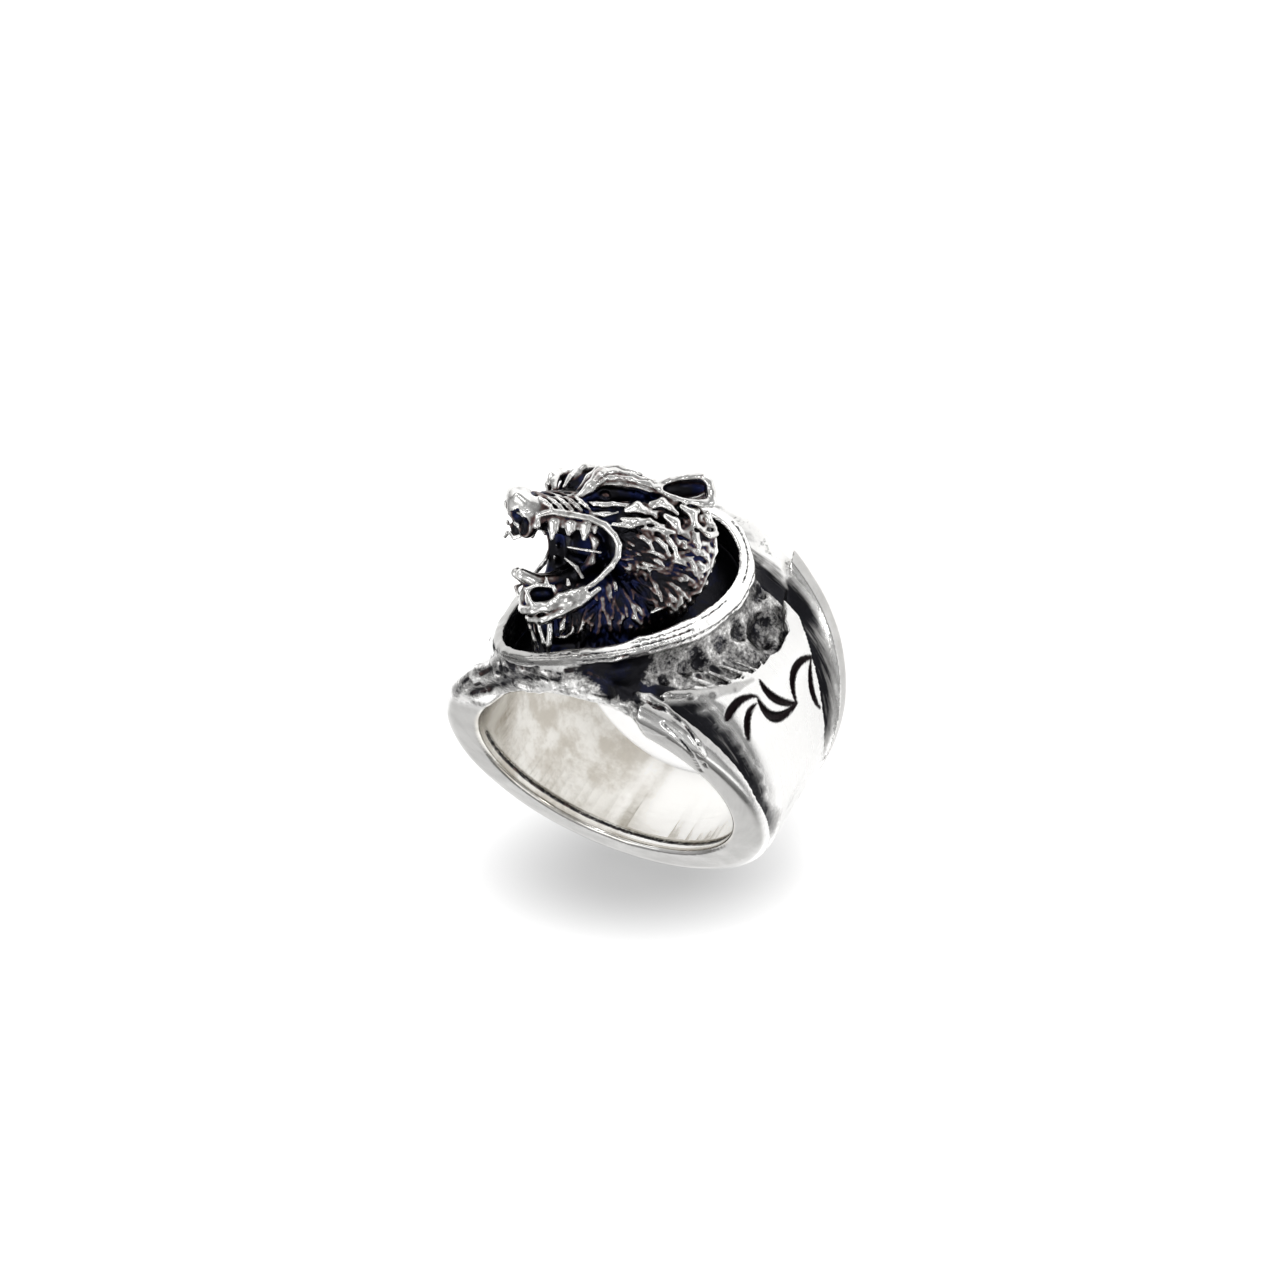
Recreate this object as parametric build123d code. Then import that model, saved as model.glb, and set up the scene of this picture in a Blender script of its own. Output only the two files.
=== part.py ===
"""Cast silver finger ring with a snarling wolf's head in an oblong bezel.

The ring is worked out standing up: the finger axis runs along X with the open
front at +X, and the head is on top at +Z. At the end it is laid on the flat
face of its back rail, so that face looks down and the head points along +X.
The origin stays at the middle of the finger hole. All lengths are in
millimetres and all angles in degrees.
"""
from build123d import *
import math
import os

import numpy as np

# Finger hole and band
bore_radius = 9.75
rail_radius = 12.7
half_width = 7.27  # from the finger axis to either flank, level with the axis
flank_angle = 17.4  # how far each flank leans outwards towards the top
front_outer_round = 1.15
front_inner_round = 0.75
back_outer_round = 0.8
back_inner_round = 0.4

# Front face above the shoulders, set back behind the front rail
step_back = 1.1
step_left = 8.6
step_right = 4.6
step_bottom = 6.2

# Channels beside the raised strap on each side of the band
back_rail_width = 1.5
back_channel_width = 2.5
back_channel_radius = 10.9
strap_lean_low = 0.1  # share of the flank's lean that the strap's back edge follows below
strap_lean_high = 0.85  # and above
strap_bend = -2.1  # height below which the strap's back edge runs over to the rail
front_rail_width = 0.8
front_channel_width = 1.0
front_channel_top_width = 1.7
front_channel_radius = 11.4
channel_top = 9.5
back_channel_bottom = -5.9
front_channel_bottom = -5.0

# Melted ground between the bezel and the strap's torn upper edge
ground_radius = 11.9
ground_length = 24.2
ground_width = 20.2
ground_shift = -2.0
pit_depth = 0.55

# Oblong bezel round the head
bezel_length = 19.4  # along the middle of the rim
bezel_width = 12.3
bezel_turn = -31.0  # of its long axis, from the finger axis
bezel_shift = 0.95
bezel_wall = 0.84
rim_width = 1.05
rim_depth = 0.85
rim_radius = 13.95
rim_round = 0.3
skirt_flare = 1.5  # how far the outside of the bezel spreads on its way down
skirt_height = 4.0
cup_radius = 11.35

# Head: where its middle sits, how it is turned, and how finely it is faceted
head_middle = (-0.68, -0.16, 15.6)
head_heading = -42.0  # of the muzzle, from the open front
head_pitch = 20.3  # of the muzzle above level
head_roll = 29.5  # of the crown, away from the side that shows
head_grain = 0.43
head_box = (9.6, 9.0, 8.6)  # half sizes of the block that the head is worked out in
crown_round = 0.1  # softens the line where the two sides of the head meet
least_offset = 0.05  # of a grid corner from the surface, as a share of the grain
seat_gap = 0.08  # between the foot of the neck and the floor of the cup
far_side_drop = 0.09

# Pits melted into the ground: x, y and radius
melt_pits = [
    (-2.8, 9.15, 1.45),
    (-0.8, 8.4, 0.85),
    (1.6, 8.9, 0.95),
    (4.2, 7.7, 0.9),
    (6.4, 5.8, 0.8),
    (-5.6, 7.6, 0.9),
]

# Rounded main forms of the head, in its own axes from its middle: f is forward,
# l is out to either side and u is up. rf, rl and ru are the half sizes.
head_masses = [
    # f, l, u, rf, rl, ru, blend
    (0.4, 0.0, 2.0, 4.1, 3.3, 3.1, 0.6),  # skull
    (2.2, 1.5, 4.1, 1.7, 1.3, 1.1, 0.5),  # forehead
    (-0.8, 2.3, 0.4, 3.3, 2.1, 2.9, 0.8),  # cheek
    (-3.2, 1.4, -0.3, 2.6, 3.0, 3.8, 0.6),  # ruff
    (-1.9, 1.4, -3.0, 2.4, 2.9, 2.6, 0.6),  # ruff below the cheek
    (8.0, 0.0, 3.25, 1.1, 1.4, 1.25, 0.3),  # nose
]

# Eye socket, eyeball, and the shell and hollow of the ear: middle and half sizes
eye_socket = ((1.9, 3.3, 4.0), (2.5, 1.4, 0.8))
eyeball = ((2.5, 2.2, 3.8), (0.6, 0.6, 0.6))
ear_shell = ((-3.1, 3.0, 4.05), (2.4, 1.0, 1.1))
ear_hollow = ((-3.2, 3.95, 4.2), (1.8, 1.1, 0.65))

# Tapered limbs of the head, each from one round end to the other
head_limbs = [
    # f, l, u, radius, f, l, u, radius, blend
    (3.0, 1.1, 2.3, 1.85, 7.2, 0.6, 2.8, 1.2, 0.5),  # muzzle
    (4.2, 0.0, 3.0, 1.0, 7.4, 0.0, 3.2, 0.9, 0.4),  # bridge of the nose
    (8.0, 0.8, 2.6, 0.75, 7.8, 0.8, 1.5, 0.65, 0.3),  # front of the upper lip
    (2.4, 1.5, -3.0, 1.4, 6.9, 0.5, -3.3, 1.0, 0.5),  # lower jaw
    (1.6, 0.5, 0.0, 1.8, 4.4, 0.3, 0.2, 0.9, 0.5),  # throat inside the mouth
    (0.6, 0.6, -4.6, 2.8, 5.0, 0.2, -5.2, 1.6, 0.6),  # neck
    (1.0, 0.3, -7.0, 2.6, 5.0, 0.0, -8.0, 1.5, 0.6),  # foot of the neck
]

# Limbs cut away for the open mouth
mouth_cuts = [
    # f, l, u, radius, f, l, u, radius, blend
    (6.4, 0.0, -0.4, 1.45, 9.5, 0.0, -0.5, 1.5, 0.3),
    (4.4, 3.0, 0.1, 2.1, 6.6, 2.6, 0.2, 1.9, 0.3),
    (4.0, 3.1, 0.9, 1.5, 6.4, 2.2, 1.3, 1.0, 0.3),
]

# Small limbs added after the mouth is open: tongue, fangs and the lip's drop
mouth_limbs = [
    # f, l, u, radius, f, l, u, radius, blend
    (3.5, 0.3, -1.6, 0.9, 7.2, 0.3, -2.1, 0.6, 0.3),
    (7.2, 0.4, -2.2, 0.5, 8.0, 0.4, -1.9, 0.45, 0.2),
    (6.3, 1.7, 2.1, 0.42, 6.4, 1.7, 1.0, 0.22, 0.15),
    (4.9, 2.1, 2.0, 0.4, 4.9, 2.1, 1.2, 0.22, 0.15),
    (3.9, 2.4, 1.9, 0.4, 3.8, 2.4, 0.9, 0.22, 0.15),
    (7.4, 1.4, 3.0, 0.35, 7.4, 1.5, 2.2, 0.38, 0.2),
]

# Raised cords on the head: radius, blend and the places they pass
head_cords = [
    (0.32, 0.2, [(7.3, 1.8, 2.7), (5.3, 2.5, 2.6), (3.0, 3.2, 1.9), (2.1, 3.6, 0.5),
                 (2.6, 3.4, -1.0), (4.0, 3.0, -2.4)]),  # upper lip
    (0.5, 0.3, [(4.2, 2.1, 3.6), (2.5, 2.5, 5.1), (1.2, 3.0, 4.8), (-1.6, 3.3, 3.9)]),  # brow
    (0.36, 0.3, [(4.1, 2.4, 3.3), (1.3, 3.3, 3.2), (-0.7, 3.7, 3.0)]),  # lower eyelid
    (0.36, 0.3, [(2.5, 3.5, 1.9), (0.3, 4.1, 1.7), (-1.9, 4.3, 1.3)]),  # cheek strand
    (0.34, 0.3, [(7.4, 0.7, -4.2), (4.8, 2.2, -3.8), (3.4, 2.9, -2.7)]),  # jaw's lower edge
]

lean = math.tan(math.radians(flank_angle))
reach = 3 * rail_radius  # safely past the whole ring
edge_match = 0.2  # how close an edge lies to the radius that it is looked up by


def side_prism(points):
    """Prism across the whole ring from an outline seen from the side, as x and z."""
    outline = Plane.XZ * make_face(Polyline(*points, close=True))
    return extrude(outline, amount=reach, both=True)


def finger_cylinder(radius):
    """Cylinder along the finger axis."""
    return Rotation(0, 90, 0) * Cylinder(radius, 2 * reach)


def flank_prism(front_inset=0.0, back_inset=0.0):
    """Everything between the two leaning flanks."""
    low = -rail_radius - 1
    front = half_width - front_inset
    back = -half_width + back_inset
    return side_prism([
        (back - lean * low, low),
        (front + lean * low, low),
        (front + lean * reach, reach),
        (back - lean * reach, reach),
    ])


def outer_edges(solid, radius, front):
    """Edges of one flank that run round the ring at about the given radius."""
    found = []
    for edge in solid.edges():
        box = edge.bounding_box()
        round_it = box.size.Y > radius and abs(box.max.Y - radius) < edge_match
        if round_it and (edge.center().X > 0) == front:
            found.append(edge)
    return found


def rounded_blank():
    """Plain band with leaning flanks, their edges rounded like a soft bead."""
    blank = flank_prism() & finger_cylinder(rail_radius)
    blank -= finger_cylinder(bore_radius)
    blank = fillet(outer_edges(blank, rail_radius, True), front_outer_round)
    blank = fillet(outer_edges(blank, rail_radius, False), back_outer_round)
    blank = fillet(outer_edges(blank, bore_radius, True), front_inner_round)
    return fillet(outer_edges(blank, bore_radius, False), back_inner_round)


def back_channel():
    """Deep channel between the back rail and the strap, narrowing to nothing below."""
    rail = -half_width + back_rail_width
    low = back_channel_bottom
    strap = rail + back_channel_width
    outline = [
        (rail - lean * low, low),
        (strap - strap_lean_low * lean * low, strap_bend),
        (strap, 0.0),
        (strap - strap_lean_high * lean * channel_top, channel_top),
        (rail - lean * channel_top, channel_top),
    ]
    return side_prism(outline) - finger_cylinder(back_channel_radius)


def front_channel():
    """Narrow channel between the front rail and the strap."""
    rail = half_width - front_rail_width
    low = front_channel_bottom
    outline = [
        (rail + lean * low, low),
        (rail - front_channel_width, 0.0),
        (rail + lean * channel_top - front_channel_top_width, channel_top),
        (rail + lean * channel_top, channel_top),
    ]
    return side_prism(outline) - finger_cylinder(front_channel_radius)


def melted_ground():
    """Lowered ground round the bezel with its pits, on both sides of the ring."""
    oval = Pos(ground_shift, 0, 0) * Ellipse(ground_length / 2, ground_width / 2)
    ground = extrude(oval, amount=reach) - finger_cylinder(ground_radius)
    for x, y, radius in melt_pits:
        height = math.sqrt(ground_radius**2 - y**2) + radius - pit_depth
        for side in (-1, 1):
            ground += Pos(x, side * y, height) * Sphere(radius)
    return ground


def front_step():
    """Metal taken off the front between the shoulders, so that the rail stops there."""
    face = half_width - step_back
    outline = [
        (face + lean * step_bottom, step_bottom),
        (face + lean * reach, reach),
        (2 * reach, reach),
        (2 * reach, step_bottom),
    ]
    across = Pos(0, (step_right - step_left) / 2, 0) * Box(4 * reach, step_right + step_left, 4 * reach)
    return side_prism(outline) & across


def bezel_oval(margin, height):
    """Oval face in line with the bezel, wider all round than the rim's middle by the margin."""
    oval = Ellipse(bezel_length / 2 + margin, bezel_width / 2 + margin)
    return Pos(bezel_shift, 0, height) * Rotation(0, 0, bezel_turn) * oval


def bezel_wall_block():
    """Oblong wall that spreads down onto the band, with a rounded rim along its top."""
    base = rim_radius - skirt_height
    skirt = loft([bezel_oval(bezel_wall / 2 + skirt_flare, base), bezel_oval(bezel_wall / 2, rim_radius)])
    skirt = skirt & finger_cylinder(rim_radius - rim_depth / 2) & flank_prism(front_inset=step_back)
    rim = extrude(bezel_oval(rim_width / 2, 0), amount=reach) & finger_cylinder(rim_radius)
    rim -= finger_cylinder(rim_radius - rim_depth)
    rim -= extrude(bezel_oval(-rim_width / 2, 0), amount=reach)
    rim = fillet(rim.edges().filter_by(GeomType.BSPLINE), rim_round)
    return skirt, rim


def cup():
    """Hollow inside the bezel, down to a floor that follows the band."""
    hollow = extrude(bezel_oval(-bezel_wall / 2, 0), amount=reach)
    return hollow - finger_cylinder(cup_radius)


def ring_band():
    """The whole casting apart from the head."""
    band = rounded_blank()
    band -= melted_ground()
    band -= back_channel()
    band -= front_channel()
    band -= front_step()
    skirt, rim = bezel_wall_block()
    band += skirt
    band -= cup()
    band += rim
    return band - finger_cylinder(bore_radius)


def join(a, b, blend):
    """Soft union of two distance fields."""
    near = np.maximum(blend - np.abs(a - b), 0) / blend
    return np.minimum(a, b) - near * near * blend / 4


def cut(a, b, blend):
    """Field a with field b taken away, softened along the seam."""
    near = np.maximum(blend - np.abs(a + b), 0) / blend
    return np.maximum(a, -b) + near * near * blend / 4


def ball(place, middle, halves):
    """Distance to an egg-shaped form."""
    halves = np.array(halves)
    offset = place - np.array(middle)
    scaled = np.linalg.norm(offset / halves, axis=-1)
    steep = np.linalg.norm(offset / halves**2, axis=-1)
    return scaled * (scaled - 1) / np.maximum(steep, 1e-6)


def limb(place, start, end, start_radius, end_radius):
    """Distance to a tapered limb with round ends."""
    start = np.array(start)
    along = np.array(end) - start
    share = np.clip((place - start) @ along / (along @ along), 0, 1)
    gap = np.linalg.norm(place - start - share[..., None] * along, axis=-1)
    return gap - (start_radius + (end_radius - start_radius) * share)


def add_limbs(field, place, table, combine):
    """Combine each limb of a table with the field."""
    for f1, l1, u1, r1, f2, l2, u2, r2, blend in table:
        field = combine(field, limb(place, (f1, l1, u1), (f2, l2, u2), r1, r2), blend)
    return field


def ear(place):
    """One ear, laid back and hollow on its outer side."""
    return cut(ball(place, *ear_shell), ball(place, *ear_hollow), 0.1)


def head_field(place):
    """Distance to the head's surface, negative inside, from places in the head's axes."""
    side = place.copy()
    far = np.maximum(-place[..., 1], 0)
    side[..., 2] = place[..., 2] + far_side_drop * far**2
    side[..., 1] = np.hypot(place[..., 1], crown_round)
    field = np.full(side.shape[:-1], float(reach))
    for f, l, u, rf, rl, ru, blend in head_masses:
        field = join(field, ball(side, (f, l, u), (rf, rl, ru)), blend)
    field = add_limbs(field, side, head_limbs, join)
    field = add_limbs(field, side, mouth_cuts, cut)
    field = cut(field, ball(side, *eye_socket), 0.2)
    field = join(field, ball(side, *eyeball), 0.1)
    field = join(field, ear(side), 0.3)
    field = add_limbs(field, side, mouth_limbs, join)
    for radius, blend, places in head_cords:
        for start, end in zip(places[:-1], places[1:]):
            field = join(field, limb(side, start, end, radius, radius), blend)
    return field


def head_axes():
    """Forward, left and up directions of the head, as rows, in the standing ring."""
    heading, pitch, roll = (math.radians(a) for a in (head_heading, head_pitch, head_roll))
    forward = np.array([
        math.cos(pitch) * math.cos(heading),
        math.cos(pitch) * math.sin(heading),
        math.sin(pitch),
    ])
    level_left = np.array([-math.sin(heading), math.cos(heading), 0.0])
    level_up = np.cross(forward, level_left)
    left = level_left * math.cos(roll) + level_up * math.sin(roll)
    return np.array([forward, left, np.cross(forward, left)])


def seated_field(place):
    """Head's field in the standing ring, trimmed to stand on the floor of the cup."""
    own = (place - np.array(head_middle)) @ head_axes().T
    floor = np.hypot(place[..., 1], place[..., 2]) - (cup_radius + seat_gap)
    return np.maximum(head_field(own), -floor)


def settle_corners(values):
    """Fill grid corners one by one where a surface would touch itself at a line or point."""
    while True:
        fills = np.zeros(values.shape, bool)
        for axis in range(3):
            mark_touching_squares(np.moveaxis(values, axis, 0), np.moveaxis(fills, axis, 0))
        mark_touching_cells(values, fills)
        if not fills.any():
            return values
        values[fills] *= -1


def corner_parts(steps):
    """Slices of a grid that pick out one corner of every square or cell."""
    return [tuple(slice(s, s - 1 or None) for s in step) for step in steps]


def mark_weakest_outside(corners, touching, parts, fills):
    """Mark the outside corner nearest to the surface, where a square or cell needs one."""
    weakest = np.where(corners < 0, np.inf, corners).argmin(0)
    for number, part in enumerate(parts):
        fills[part] |= touching & (weakest == number)


def mark_touching_squares(values, fills):
    """Mark squares whose two diagonals lie on opposite sides of the surface."""
    parts = [(slice(None),) + part for part in corner_parts([(0, 0), (1, 0), (1, 1), (0, 1)])]
    corners = np.stack([values[part] for part in parts])
    inside = corners < 0
    touching = (inside[0] == inside[2]) & (inside[1] == inside[3]) & (inside[0] != inside[1])
    mark_weakest_outside(corners, touching, parts, fills)


def mark_touching_cells(values, fills):
    """Mark cells where two lone corners face each other right across the cell."""
    parts = corner_parts([(i, j, k) for i in (0, 1) for j in (0, 1) for k in (0, 1)])
    corners = np.stack([values[part] for part in parts])
    inside = corners < 0
    count = inside.sum(0)
    touching = np.zeros(count.shape, bool)
    for first in range(4):
        both_in = inside[first] & inside[7 - first]
        both_out = ~inside[first] & ~inside[7 - first]
        touching |= ((count == 2) & both_in) | ((count == 6) & both_out)
    mark_weakest_outside(corners, touching, parts, fills)


def facet_surface(field, low, high, grain):
    """Closed net of quads over the zero surface of a field: its corners and faces."""
    axes = [np.arange(a, b + grain, grain) for a, b in zip(low, high)]
    grid = np.stack(np.meshgrid(*axes, indexing="ij"), -1)
    values = field(grid)
    values = np.where(values < 0, -1, 1) * np.maximum(np.abs(values), least_offset * grain)
    values = settle_corners(values)
    inside = values < 0
    size = tuple(n - 1 for n in values.shape)
    total = np.zeros(size + (3,))
    count = np.zeros(size)
    quads = []
    for axis in range(3):
        first, second = (np.moveaxis(values, axis, 0)[part] for part in (slice(None, -1), slice(1, None)))
        crossing = (first < 0) != (second < 0)
        share = first / np.where(crossing, first - second, 1)
        spot = np.moveaxis(grid, axis, 0)[:-1].copy()
        spot[..., axis] += share * grain
        spot = np.where(crossing[..., None], spot, 0)
        inner = np.moveaxis(total, axis, 0)
        tally = np.moveaxis(count, axis, 0)
        for i in (0, 1):
            for j in (0, 1):
                part = (slice(None), slice(i, i - 1 or None), slice(j, j - 1 or None))
                inner[:] += spot[part]
                tally[:] += crossing[part]
        quads.append(crossing_quads(crossing, first < 0, axis, size))
    used = count > 0
    number = np.full(size, -1)
    number[used] = np.arange(used.sum())
    corners = total[used] / count[used][:, None]
    faces = number.ravel()[np.concatenate(quads)]
    return keep_largest(corners, faces)


def crossing_quads(crossing, first_inside, axis, size):
    """Cells round each crossed grid edge, in order, facing out of the solid."""
    i, j, k = np.nonzero(crossing[:, 1:-1, 1:-1])
    j, k = j + 1, k + 1
    outward = first_inside[i, j, k]
    others = [a for a in range(3) if a != axis]
    cells = []
    for dj, dk in ((-1, -1), (0, -1), (0, 0), (-1, 0)):
        index = np.empty((3, len(i)), int)
        index[axis] = i
        index[others[0]] = j + dj
        index[others[1]] = k + dk
        cells.append(np.ravel_multi_index(index, size))
    quads = np.stack(cells, 1)
    if axis == 1:
        outward = ~outward
    quads[~outward] = quads[~outward][:, ::-1]
    return quads


def keep_largest(corners, faces):
    """Drop every piece of a net but the largest."""
    label = np.arange(len(corners))
    while True:
        lowest = label[faces].min(1)
        new = label.copy()
        for column in range(4):
            np.minimum.at(new, faces[:, column], lowest)
        new = new[new]
        if (new == label).all():
            break
        label = new
    main = np.bincount(label).argmax()
    kept = label == main
    number = np.cumsum(kept) - 1
    return corners[kept], number[faces[kept[faces[:, 0]]]]


def faceted_solid(corners, quads):
    """Closed solid of flat triangles from a net of quads."""
    points = [Vector(*p) for p in corners.tolist()]
    faces = []
    for a, b, c, d in quads.tolist():
        for trio in ((a, b, c), (a, c, d)):
            faces.append(Face(Wire.make_polygon([points[n] for n in trio], close=True)))
    return Solid(Shell(faces))


def wolf_head():
    """The head with its ruff and neck, standing in the bezel."""
    size = np.array(head_box)
    middle = np.array(head_middle)
    corners, quads = facet_surface(seated_field, middle - size, middle + size, head_grain)
    print("head facets", 2 * len(quads))
    return faceted_solid(corners, quads)


def laid_down():
    """Placement that rests the standing ring on the face of its back rail."""
    angle = math.radians(flank_angle)
    along = (-math.sin(angle), 0, math.cos(angle))
    up = (math.cos(angle), 0, math.sin(angle))
    return Plane(origin=(0, 0, 0), x_dir=along, z_dir=up).location


os.makedirs("parts", exist_ok=True)
for name, piece in (("ring_band", ring_band()), ("wolf_head", wolf_head())):
    export_step(laid_down() * piece, f"parts/{name}.step")
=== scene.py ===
"""Looks for the silver wolf ring: sculpted metal, materials, light and camera.

Both castings are sculpted from distance fields. A block of distances to the
surface is filled, forms are added and cut away, and the surface is read off as
a fine net. The forms are given in millimetres in the standing ring, as in the
part's source: the finger axis runs along x with the open front at +x, y is to
the right in the photograph and the head is at +z. The finished nets are laid
down into the frame and scaled to metres.
"""

import math

import bpy
import numpy as np
from mathutils import Matrix, Vector


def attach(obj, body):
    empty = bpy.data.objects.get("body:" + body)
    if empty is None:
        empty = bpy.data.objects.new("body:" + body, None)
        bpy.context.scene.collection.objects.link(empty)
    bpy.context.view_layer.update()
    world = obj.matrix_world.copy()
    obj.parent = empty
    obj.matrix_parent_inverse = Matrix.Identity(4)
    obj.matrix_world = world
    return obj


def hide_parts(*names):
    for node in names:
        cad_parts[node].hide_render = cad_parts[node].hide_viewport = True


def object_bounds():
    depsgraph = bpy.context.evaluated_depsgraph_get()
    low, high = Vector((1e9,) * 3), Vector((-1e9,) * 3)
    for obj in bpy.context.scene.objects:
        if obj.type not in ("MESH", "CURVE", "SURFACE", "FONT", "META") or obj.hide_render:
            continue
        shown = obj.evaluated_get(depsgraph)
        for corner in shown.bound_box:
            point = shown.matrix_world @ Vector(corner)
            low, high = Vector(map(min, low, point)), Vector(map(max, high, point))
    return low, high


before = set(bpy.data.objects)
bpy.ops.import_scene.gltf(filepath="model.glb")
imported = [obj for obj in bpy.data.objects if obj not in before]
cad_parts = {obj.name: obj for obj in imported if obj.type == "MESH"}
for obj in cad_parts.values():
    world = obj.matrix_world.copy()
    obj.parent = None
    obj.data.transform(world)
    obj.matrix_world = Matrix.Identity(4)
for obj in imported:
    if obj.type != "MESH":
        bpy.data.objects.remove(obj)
cad_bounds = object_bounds()

# Band, as in the part's source, in millimetres and degrees
bore_radius = 9.75
rail_radius = 12.7
half_width = 7.27
flank_angle = 17.4
back_rail_width = 1.5
front_inset = 1.1
bezel_half_length = 9.7
bezel_half_width = 6.15
bezel_turn = -31.0
bezel_shift = 0.95
cup_radius = 11.35
rim_radius = 13.95
strap_radius = 12.6
ground_radius = 11.95
strap_back = (-3.05, -1.5)  # x and z of the strap's back edge where it is furthest forward
strap_back_limit = -5.8
strap_back_bends = (0.035, 0.05)  # how fast that edge turns back, above its level and below it
strap_crest = 3.9  # where the strap starts to slope into the front channel
front_rail_width = 0.75
back_channel_radius = 10.55
front_channel_depth = 1.35
lip_start = (7.0, 7.5)  # x and y where the melted ground's lip on the strap begins
lip_slope = 0.97
bore_step_width = 0.95  # of the shallow step inside the bore's front edge
bore_step_depth = 0.12
front_corner = 1.1  # radius of the band's edge at the front flank
back_corner = 0.75
bore_corner = 0.35
groove_foot = (-7.0, -4.0)  # heights where the back channel starts and is fully open
inset_foot = (6.4, 8.4)  # heights where the front face starts to be set back and is so fully
wall_half = 0.4  # half the thickness of the bezel's wall
wall_drop = 0.5  # from the top of the rim to the top of the wall
rim_drop = 0.45  # from the top of the rim to its middle
rim_half_height = 0.16  # without its rounding
rim_rounding = 0.25

# Head, as in the part's source
head_middle = (-0.68, -0.16, 15.6)
head_heading = -42.0
head_pitch = 20.3
head_roll = 29.5
seat_gap = 0.08
far_side_drop = 0.09

head_grain = 0.088
band_grain = 0.125
most_faces = 190000  # triangles in one finished net
far_away = 9.0
form_margin = 0.35  # round a form's box, as far as it may still change distances

# Camera where the photograph was taken from, in the frame
camera_right = (0.0176, -0.8908, -0.4541)
camera_up = (0.8895, 0.2213, -0.3997)
camera_toward = (0.4565, -0.3969, 0.7963)
camera_place = (0.18716, -0.15705, 0.31673)
camera_lens = 155.9
camera_sensor = 36.0
photo_size = 1280  # pixels, for the places below that were picked in the photo
slope_depth = 1.0  # from the front flank back to the metal that those places are on

lean = math.tan(math.radians(flank_angle))
lean_cos = math.cos(math.radians(flank_angle))
lean_sin = math.sin(math.radians(flank_angle))


# Distance fields
def smooth(low, high, value):
    """Soft step from 0 at low to 1 at high."""
    share = np.clip((value - low) / (high - low), 0, 1)
    return share * share * (3 - 2 * share)


def join(a, b, blend):
    """Soft union of two distances."""
    near = np.maximum(blend - np.abs(a - b), 0) / blend
    return np.minimum(a, b) - near * near * (blend / 4)


def cut(a, b, blend):
    """Distance a with b taken away, softened along the seam."""
    near = np.maximum(blend - np.abs(a + b), 0) / blend
    return np.maximum(a, -b) + near * near * (blend / 4)


def rounded_cross(a, b, radius):
    """Where two solids overlap, with the edge between them rounded."""
    over = np.hypot(np.maximum(a + radius, 0), np.maximum(b + radius, 0))
    return over + np.minimum(np.maximum(a, b) + radius, 0) - radius


def egg(middle, halves):
    """Egg-shaped form: the corners of its box and its distance."""
    middle, halves = np.array(middle, float), np.array(halves, float)

    def distance(x, y, z):
        steps = [(v - m) / h for v, m, h in zip((x, y, z), middle, halves)]
        scaled = np.sqrt(steps[0] ** 2 + steps[1] ** 2 + steps[2] ** 2)
        steep = np.sqrt(sum((s / h) ** 2 for s, h in zip(steps, halves)))
        return scaled * (scaled - 1) / np.maximum(steep, 1e-6)

    return middle - halves, middle + halves, distance


def limb(start, end, start_radius, end_radius):
    """Tapered limb with round ends: the corners of its box and its distance."""
    start, end = np.array(start, float), np.array(end, float)
    along = end - start
    square = float(along @ along)
    widest = max(start_radius, end_radius)

    def distance(x, y, z):
        dx, dy, dz = x - start[0], y - start[1], z - start[2]
        share = np.clip((dx * along[0] + dy * along[1] + dz * along[2]) / square, 0, 1)
        gap = (dx - share * along[0]) ** 2 + (dy - share * along[1]) ** 2 + (dz - share * along[2]) ** 2
        return np.sqrt(gap) - (start_radius + (end_radius - start_radius) * share)

    return np.minimum(start, end) - widest, np.maximum(start, end) + widest, distance


def limbs_along(places, radii):
    """Limbs from each place to the next."""
    return [limb(a, b, ra, rb) for a, b, ra, rb in zip(places[:-1], places[1:], radii[:-1], radii[1:])]


class Clay:
    """Block of distances to a surface, in millimetres, that forms are added to and cut from."""

    def __init__(self, low, high, grain):
        self.low = np.array(low, float)
        self.grain = grain
        counts = np.ceil((np.array(high) - self.low) / grain).astype(int) + 1
        self.values = np.full(counts, far_away, np.float32)

    def window(self, low=None, high=None):
        """Part of the block inside a box, and the places of its corners."""
        size = np.array(self.values.shape)
        first, last = np.zeros(3, int), size
        if low is not None:
            first = np.clip(np.floor((low - self.low) / self.grain).astype(int), 0, size - 1)
            last = np.clip(np.ceil((high - self.low) / self.grain).astype(int) + 1, first + 1, size)
        part = tuple(slice(a, b) for a, b in zip(first, last))
        steps = np.ogrid[part]
        return part, [(s * self.grain + o).astype(np.float32) for s, o in zip(steps, self.low)]

    def work(self, form, blend, combine):
        """Add a form to the block or cut it away."""
        low, high, distance = form
        part, place = self.window(low - blend - form_margin, high + blend + form_margin)
        self.values[part] = combine(self.values[part], distance(*place), blend)

    def cord(self, places, radii, blend, combine=join):
        """Work a chain of limbs through the given places, with a radius for each."""
        for form in limbs_along(places, radii):
            self.work(form, blend, combine)

    def at(self, places, values=None):
        """Distances at any places, blended between the block's corners."""
        values = self.values if values is None else values
        steps = (np.asarray(places) - self.low) / self.grain
        base = np.clip(np.floor(steps).astype(int), 0, np.array(values.shape) - 2)
        share = np.clip(steps - base, 0, 1)
        total = 0
        for i in (0, 1):
            for j in (0, 1):
                for k in (0, 1):
                    weight = 1
                    for axis, c in enumerate((i, j, k)):
                        weight = weight * (share[:, axis] if c else 1 - share[:, axis])
                    total = total + weight * values[base[:, 0] + i, base[:, 1] + j, base[:, 2] + k]
        return total

    def bulge(self, places, reach):
        """How far the metal stands out at each place, compared with its surroundings."""
        blurred = np.clip(self.values, -reach, reach)
        width = max(int(round(reach / self.grain)), 1)
        for axis in range(3):
            blurred = box_blur(box_blur(blurred, axis, width), axis, width)
        return self.at(places, blurred) / reach


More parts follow.
